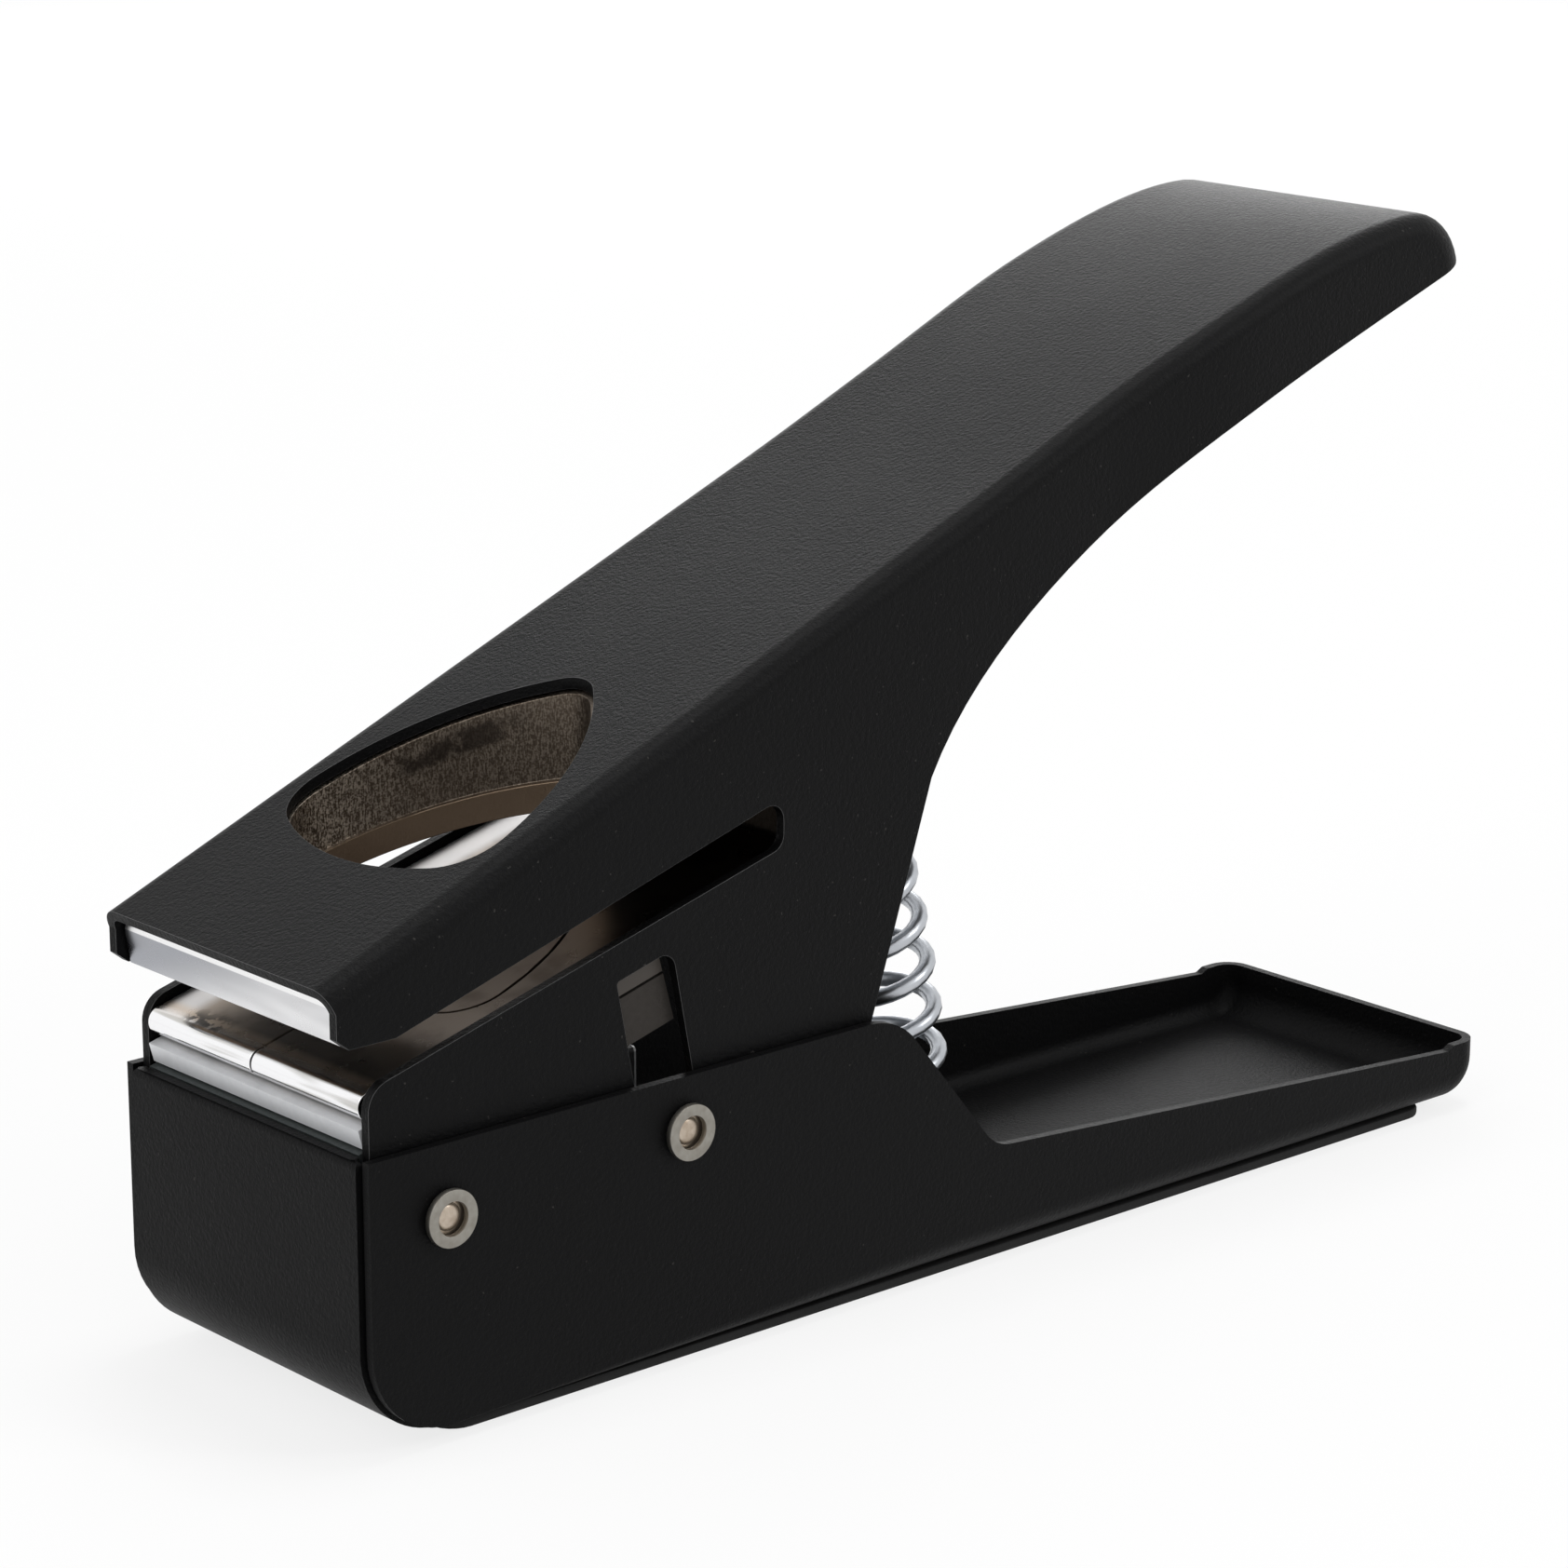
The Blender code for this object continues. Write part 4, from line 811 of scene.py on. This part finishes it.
def under_sheet(x, depth):
    """Height at a depth square to the handle's sloping top."""
    return NOSE[1] + math.tan(SLOPE) * (x - NOSE[0]) - depth / math.cos(SLOPE)


die = tube_across("die_block", [
    (DIE_TOE, MOUTH_Z), (MOUTH_X, MOUTH_Z), (STOP_FRONT, die_bottom(STOP_FRONT)),
    (STOP_FRONT, STOP_FOOT), (DIE_REAR, STOP_FOOT), (DIE_REAR, under_sheet(DIE_REAR, die_depth)),
    (LIP_BACK, under_sheet(LIP_BACK, die_depth)), (LIP_BACK, LIP_TOP), (LIP_FACE, LIP_TOP),
    (LIP_EDGE, LIP_Z),
], -DIE_HALF, DIE_HALF)
choose("EDGE", lambda edge: abs(abs(middle_of(edge).y) - DIE_HALF * MM) < HAIR
       and all(v.co.z / MM > under_sheet((v.co.x - FRONT) / MM, die_depth + 0.3)
               for v in edge.verts))
bpy.ops.mesh.bevel(offset=DIE_CORNER * MM, segments=5, affect="EDGES")
to_object()
machined(die, standing("die_edge_hole", pick_outline(HOLE_INSET), BELOW_DIE, ABOVE_TOP))
relief = standing("die_relief", pick_outline(RELIEF_INSET), BELOW_DIE, ABOVE_TOP)
bpy.ops.mesh.select_all(action="SELECT")
bpy.ops.mesh.bisect(plane_co=place(MOUTH_X, MOUTH_Z + CUTTING_EDGE),
                    plane_no=(-DIE_SLOPE, 0, 1), use_fill=True, clear_inner=True)
machined(die, relief)
smooth(die, 0.12, 2, 40)

die_metal = Finish("chromed and wire cut steel", Metallic=1.0)
film = die_metal.noise(2.5, 4.0)
cut_grain = die_metal.noise(0.16, 2.0, (1, 1, 4))
pits = die_metal.noise(0.22, 3.0)
x_place = die_metal.axis("X") - FRONT / MM
y_place = die_metal.axis("Y")
z_place = die_metal.axis("Z")
front_share = die_metal.rise(x_place, 1.2, 0.6)
streaks = die_metal.rise(die_metal.noise(2.0, 1.0, (1, 6, 1)), 0.35, 0.75)
# The chrome front is painted paler towards its near side and its lower part, as a reflection.
painted_reflection_share = die_metal.rise(y_place + (z_place - LIP_Z) * 3, 8.0, -14.0)
chrome_front_painted_lit = die_metal.mixed(painted_reflection_share, (0.36, 0.37, 0.40), (0.80, 0.80, 0.81))
chrome_front_painted_lit = die_metal.mixed(streaks * 0.35, chrome_front_painted_lit, (0.35, 0.35, 0.36))
# The lip's top is painted near white as a highlight.
chrome_front_painted_lit = die_metal.mixed(die_metal.rise(z_place, LIP_Z - 0.05, LIP_Z + 0.05), chrome_front_painted_lit,
                              grey(0.9))
above_foot = z_place - DIE_SLOPE * x_place - (MOUTH_Z - DIE_SLOPE * MOUTH_X)
# The under face is painted dark as shade.
shaded_under_face = die_metal.rise(above_foot, 0.14, 0.04)
wall_speckle = die_metal.rise(cut_grain * 0.5 + pits * 0.5, 0.42, 0.62)
to_rear = die_metal.rise(x_place, 16.0, 34.0)
to_front = die_metal.rise(x_place, 16.5, 13.5)
brown = die_metal.mixed(wall_speckle * (1 - 0.75 * to_rear) * (1 - to_front),
                        (0.075, 0.058, 0.044), (0.52, 0.45, 0.37))
# A patchy dark band high on the far wall of the hole, then the cutting edge, and the under face
# painted dark as shade.
height_along_top = z_place - math.tan(SLOPE) * x_place
dark_band = (die_metal.rise(height_along_top, 43.0, 44.0) * die_metal.rise(height_along_top, 46.4, 45.6)
          * die_metal.rise(x_place, 28.0, 30.5) * die_metal.rise(x_place, 41.0, 36.0)
          * die_metal.rise(y_place, 0.0, 4.0) * die_metal.rise(film, 0.3, 0.55))
brown = die_metal.mixed(dark_band * 0.85, brown, (0.03, 0.024, 0.02))
land = die_metal.rise(above_foot, CUTTING_EDGE + 0.02, CUTTING_EDGE - 0.02)
brown = die_metal.mixed(land, brown, (0.17, 0.125, 0.088))
brown = die_metal.mixed(shaded_under_face, brown, (0.05, 0.04, 0.032))
die_metal.set("Base Color", die_metal.mixed(front_share, brown, chrome_front_painted_lit))
die_metal.set("Roughness", (1 - front_share) * (0.34 + wall_speckle * 0.15 + shaded_under_face * 0.2)
              + front_share * (0.22 + film * 0.12))
die_metal.bumps((1 - front_share) * (cut_grain * 0.6 + pits * 0.4), 0.05, 0.7)
dressed(die, "handle", "chrome", [die_metal], "upper_die_block")


# Lower guides
# Two ground steel plates side by side, with rolled fronts and a fine seam between them. Chrome
# plated; the top has turned a warm brown, and it carries the pick-shaped way of the punch.

GUIDE_THICK = 2.8
GUIDE_LENGTH = 56.0
GUIDE_SEAM = 0.15
BELOW_GUIDE = 20.0
ABOVE_GUIDE = 60.0
SCREW_HOLE = 1.4
SCREW_DEPTH = 3.1
SCREW_MIDDLE = -2.45
SCREW_PLACES = ((5.5, 11.0), (33.0, 13.2))
JAW_TILT = math.atan(JAW_SLOPE)


def on_jaw(along, up):
    """A side view point from a distance along the lower jaw's slope and square above it."""
    return (JAW_ORIGIN[0] + along * math.cos(JAW_TILT) - up * math.sin(JAW_TILT),
            JAW_ORIGIN[1] + along * math.sin(JAW_TILT) + up * math.cos(JAW_TILT))


guide_metal = Finish("warm plated steel", Metallic=1.0)
guide_film = guide_metal.noise(3.0, 4.0)
guide_stain = guide_metal.rise(guide_metal.noise(5.0, 4.0), 0.45, 0.7)
guide_lines = guide_metal.noise(0.25, 2.0, (12, 1, 12))
guide_x = guide_metal.axis("X") - FRONT / MM
on_top = guide_metal.rise(guide_x, 1.6, 3.4)
warm = guide_metal.mixed(guide_stain, (0.36, 0.30, 0.245), (0.13, 0.093, 0.065))
guide_y = guide_metal.axis("Y")
# The top is painted darker to the near side as shade and pale on the far side as a reflection.
warm = guide_metal.mixed(guide_metal.rise(guide_y, 10.0, 1.0) * 0.75, warm,
                         (0.045, 0.034, 0.027))
warm = guide_metal.mixed(guide_metal.rise(guide_y, 11.5, 14.0) * 0.8, warm,
                         (0.72, 0.71, 0.71))
# Dark spots on the far side near the front, a highlight painted along it as a paler band
# and reflections painted round the roll as streaks.
stain = (guide_metal.rise(guide_metal.noise(1.1, 3.0), 0.44, 0.52)
         * guide_metal.rise(guide_x, 1.9, 2.6) * guide_metal.rise(guide_x, 5.2, 3.2)
         * guide_metal.rise(guide_y, 5.5, 8.0) * guide_metal.rise(guide_y, 13.5, 11.5))
# A paler band along the front of the top is a painted highlight.
painted_highlight_band = guide_metal.rise(guide_x, 4.6, 3.4)
warm = guide_metal.mixed(painted_highlight_band * 0.6, warm, (0.62, 0.50, 0.38))
# Light and dark streaks round the roll are painted reflections.
painted_reflection_streaks = guide_metal.noise(0.7, 1.0, (1, 16, 1))
roll = guide_metal.mixed(guide_metal.rise(painted_reflection_streaks, 0.45, 0.75), (0.93, 0.93, 0.94),
                         (0.6, 0.59, 0.57))
plated = guide_metal.mixed(on_top, roll, warm)
guide_metal.set("Base Color", guide_metal.mixed(stain * 0.9, plated, (0.03, 0.025, 0.02)))
guide_metal.set("Roughness", 0.1 + on_top * 0.14 + guide_film * 0.1)
guide_metal.bumps(guide_lines, 0.012, 0.25)

guide_nose = arc(GUIDE_THICK / 2, -GUIDE_THICK / 2, GUIDE_THICK / 2, 90, 270, 20)
guide_ends = [(GUIDE_LENGTH, -GUIDE_THICK), (GUIDE_LENGTH, 0)]
outline = [on_jaw(along, up) for along, up in guide_nose + guide_ends]
for name, side in (("lower_guide_left", -1), ("lower_guide_right", 1)):
    edges = sorted((side * GUIDE_SEAM, side * DIE_HALF))
    guide = tube_across("ground_" + name, outline, *edges)
    to_object()
    machined(guide, standing("punch_way", pick_outline(HOLE_INSET), BELOW_GUIDE, ABOVE_GUIDE))
    for along, across in SCREW_PLACES:
        middle = place(*on_jaw(along, SCREW_MIDDLE), side * across)
        drill(guide, middle, SCREW_HOLE, SCREW_DEPTH, (0, -JAW_TILT, 0), 32)
    smooth(guide, 0.28, 3, 40)
    dressed(guide, "handle", "warm_nickel", [guide_metal], name)


# Support plate, guide block and their screws
# A pale matt plate and a cast block lie under the guides, and four cap screws come up through
# them from below. Plate and block are horseshoes, open behind, round the way of the punch. Their
# CAD shapes are right as they are and only get finishes.

matt_plate = Finish("matt plate", Metallic=0.35)
plate_film = matt_plate.noise(1.2, 3.0)
plate_front = matt_plate.mixed(plate_film, (0.80, 0.81, 0.83), (0.66, 0.67, 0.69))
plate_side = matt_plate.rise(matt_plate.axis("X") - FRONT / MM, 2.6, 3.2)
matt_plate.set("Base Color", matt_plate.mixed(plate_side, plate_front, (0.05, 0.042, 0.035)))
matt_plate.set("Roughness", 0.4 + plate_film * 0.12)
matt_plate.bumps(matt_plate.noise(0.3, 2.0), 0.02, 0.4)

casting = Finish("grey casting", Metallic=0.6)
cast_skin = casting.noise(0.5, 4.0)
cast_side = casting.rise(casting.axis("X") - FRONT / MM, 4.0, 12.0)
cast_tone = casting.mixed(cast_skin, (0.035, 0.042, 0.042), (0.085, 0.095, 0.095))
casting.set("Base Color", casting.mixed(cast_side, cast_tone, (0.035, 0.03, 0.026)))
casting.set("Roughness", 0.5 + cast_skin * 0.25)
casting.bumps(cast_skin, 0.12, 0.7)

screw_steel = metal("screw steel", (grey(0.24), grey(0.14)), clouds=0.7, gloss=0.3,
                    spread=0.2, grain=0.15, depth=0.02, relief=0.4)


def finished(finish, *nodes):
    """Give CAD nodes that keep their shape a finish."""
    for node in nodes:
        frame["nodes"][node].data.materials.clear()
        frame["nodes"][node].data.materials.append(finish.material)


finished(matt_plate, "guide_support_plate")
finished(casting, "guide_block")
finished(screw_steel, "guide_screw_1", "guide_screw_2", "guide_screw_3", "guide_screw_4",
         "punch_screw_front", "punch_screw_rear", "punch_carrier")
finished(nickel, "front_spacer_tube", "lower_spring_boss", "upper_spring_boss")


# Pick punch
# A hard steel block of the pick's outline, ground flush with the guides. The rear pin holds it
# through its carrier, and it rises through the guides into the die as the handle is pressed.

finished(guide_metal, "pick_punch")


# Return spring
# One bright zinc plated wire, wound open with a closed coil at each end. It stands on the base
# floor, leans forward and bears on the underside of the handle's top.

WIRE = 0.9
COIL = 5.1
COIL_PITCH = 5.2
SPRING_FOOT = (86.3, 2.7)
FOOT_LEAD = (-2.1, 30.0)
SEAT_ALONG = 68.0
SEAT_DEPTH = 1.4
SEAT_LEAD = (12.9, -27.7)
SPRING_PHASE = 0.7
END_PITCH = 2.6
PER_COIL = 24
seat = (NOSE[0] + SEAT_ALONG + SEAT_DEPTH * math.sin(SLOPE),
        NOSE[1] + SEAT_ALONG * math.tan(SLOPE) - SEAT_DEPTH * math.cos(SLOPE))
axis_line = [Vector(p) for p in curve(
    SPRING_FOOT, (SPRING_FOOT[0] + FOOT_LEAD[0], SPRING_FOOT[1] + FOOT_LEAD[1]),
    (seat[0] + SEAT_LEAD[0], seat[1] + SEAT_LEAD[1]), seat, 60)]


def on_axis(distance):
    """Point and heading on the spring's curved axis."""
    for before, after in zip(axis_line, axis_line[1:]):
        length = (after - before).length
        if distance <= length or after is axis_line[-1]:
            heading = (after - before).normalized()
            return before + heading * distance, heading
        distance -= length


axis_length = sum((after - before).length for before, after in zip(axis_line, axis_line[1:]))
open_length = axis_length - 2 * (WIRE + END_PITCH)
open_coils = round(open_length / COIL_PITCH)
wire_line = []
for step in range((open_coils + 2) * PER_COIL + 1):
    turn = step / PER_COIL
    if turn < 1:
        distance = WIRE + END_PITCH * turn
    elif turn < 1 + open_coils:
        distance = WIRE + END_PITCH + open_length * (turn - 1) / open_coils
    else:
        distance = axis_length - WIRE - END_PITCH * (open_coils + 2 - turn)
    centre, heading = on_axis(distance)
    angle = math.tau * (turn + SPRING_PHASE)
    outward = COIL * math.cos(angle)
    wire_line.append(place(centre.x + outward * heading.y, centre.y - outward * heading.x,
                           COIL * math.sin(angle)))
spring = seed("coil_spring", wire_line[0])
draw(wire_line)
to_object()
bpy.ops.object.convert(target="CURVE")
spring = bpy.context.object
spring.data.bevel_depth = WIRE * MM
spring.data.bevel_resolution = 5
spring.data.use_fill_caps = True
bpy.ops.object.convert(target="MESH")
spring = bpy.context.object
to_edit()
weld()
face_out()
to_object()
bpy.ops.object.shade_smooth_by_angle(angle=math.radians(40))

zinc = metal("bright zinc", ((0.55, 0.57, 0.60), (0.40, 0.42, 0.45)), clouds=1.2, gloss=0.24,
             spread=0.14, grain=0.2, depth=0.012, relief=0.3)
spring.data.materials.append(zinc.material)
place(*SPRING_FOOT)
place(*seat)
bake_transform(spring)
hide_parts("return_spring")


# Floor and light
# A plain white floor, a pale world and four soft lamps. The camera and mirrors see the floor and
# the world mostly as plain white, so only a soft shadow is left under the object.


def end_with(nodes, lit, shown, share):
    """End a tree with a lit shader, of which camera and mirrors see a share as another one."""
    seen = nodes.node("ShaderNodeMath", {"operation": "MAXIMUM"},
                      {0: nodes.node("ShaderNodeLightPath", output="Is Camera Ray"),
                       1: nodes.node("ShaderNodeLightPath", output="Is Glossy Ray")})
    mix = nodes.node("ShaderNodeMixShader", None, {0: seen * share, 1: lit, 2: shown})
    end = next(node for node in nodes.tree.nodes if node.type.startswith("OUTPUT"))
    nodes.tree.links.new(mix.socket, end.inputs["Surface"])


bpy.ops.object.select_all(action="DESELECT")
bpy.ops.mesh.primitive_plane_add(size=12.0)
floor = bpy.context.object
floor.name = "floor"
white = bpy.data.materials.new("white floor")
floor_nodes = Nodes(white)
end_with(floor_nodes, floor_nodes.node("ShaderNodeBsdfDiffuse", None, {"Color": (*grey(0.9), 1)}),
         floor_nodes.node("ShaderNodeEmission"), 0.8)
floor.data.materials.append(white)

world = bpy.data.worlds.new("pale world")
bpy.context.scene.world = world
sky = Nodes(world)
sky_light, sky_shown = (
    sky.node("ShaderNodeBackground", None, {"Color": (*grey(1), 1), "Strength": strength})
    for strength in (0.6, 1.0))
end_with(sky, sky_light, sky_shown, 1.0)

for name, where, size, watts in (
        ("lamp_left", (-0.75, -0.1, 0.65), 0.5, 1.6),
        ("lamp_behind", (0.8, 0.9, 0.45), 0.6, 3.0),
        ("lamp_front", (0.6, -0.9, 0.8), 0.3, 3.0),
        ("lamp_above", (0.1, 0.0, 1.2), 0.35, 4.0)):
    lamp_data = bpy.data.lights.new(name, "AREA")
    lamp_data.size = size
    lamp_data.energy = watts
    lamp = bpy.data.objects.new(name, lamp_data)
    bpy.context.scene.collection.objects.link(lamp)
    lamp.location = where
    aim = Vector((0.0, 0.0, 0.04)) - Vector(where)
    lamp.rotation_euler = aim.to_track_quat("-Z", "Y").to_euler()

bpy.context.scene.view_settings.view_transform = "Standard"

camera_data = bpy.data.cameras.new("camera")
camera_data.lens = 109.733
camera_data.sensor_width = 36.0
camera = bpy.data.objects.new("camera", camera_data)
bpy.context.scene.collection.objects.link(camera)
right = Vector((0.75155, -0.65968, 0.0))
down = Vector((-0.1745, -0.19881, -0.96438))
forward = Vector((0.63618, 0.72478, -0.26453))
turn = Matrix((right, -down, -forward)).transposed().to_4x4()
camera.matrix_world = Matrix.Translation((-0.32454, -0.35997, 0.18178)) @ turn
bpy.context.scene.camera = camera
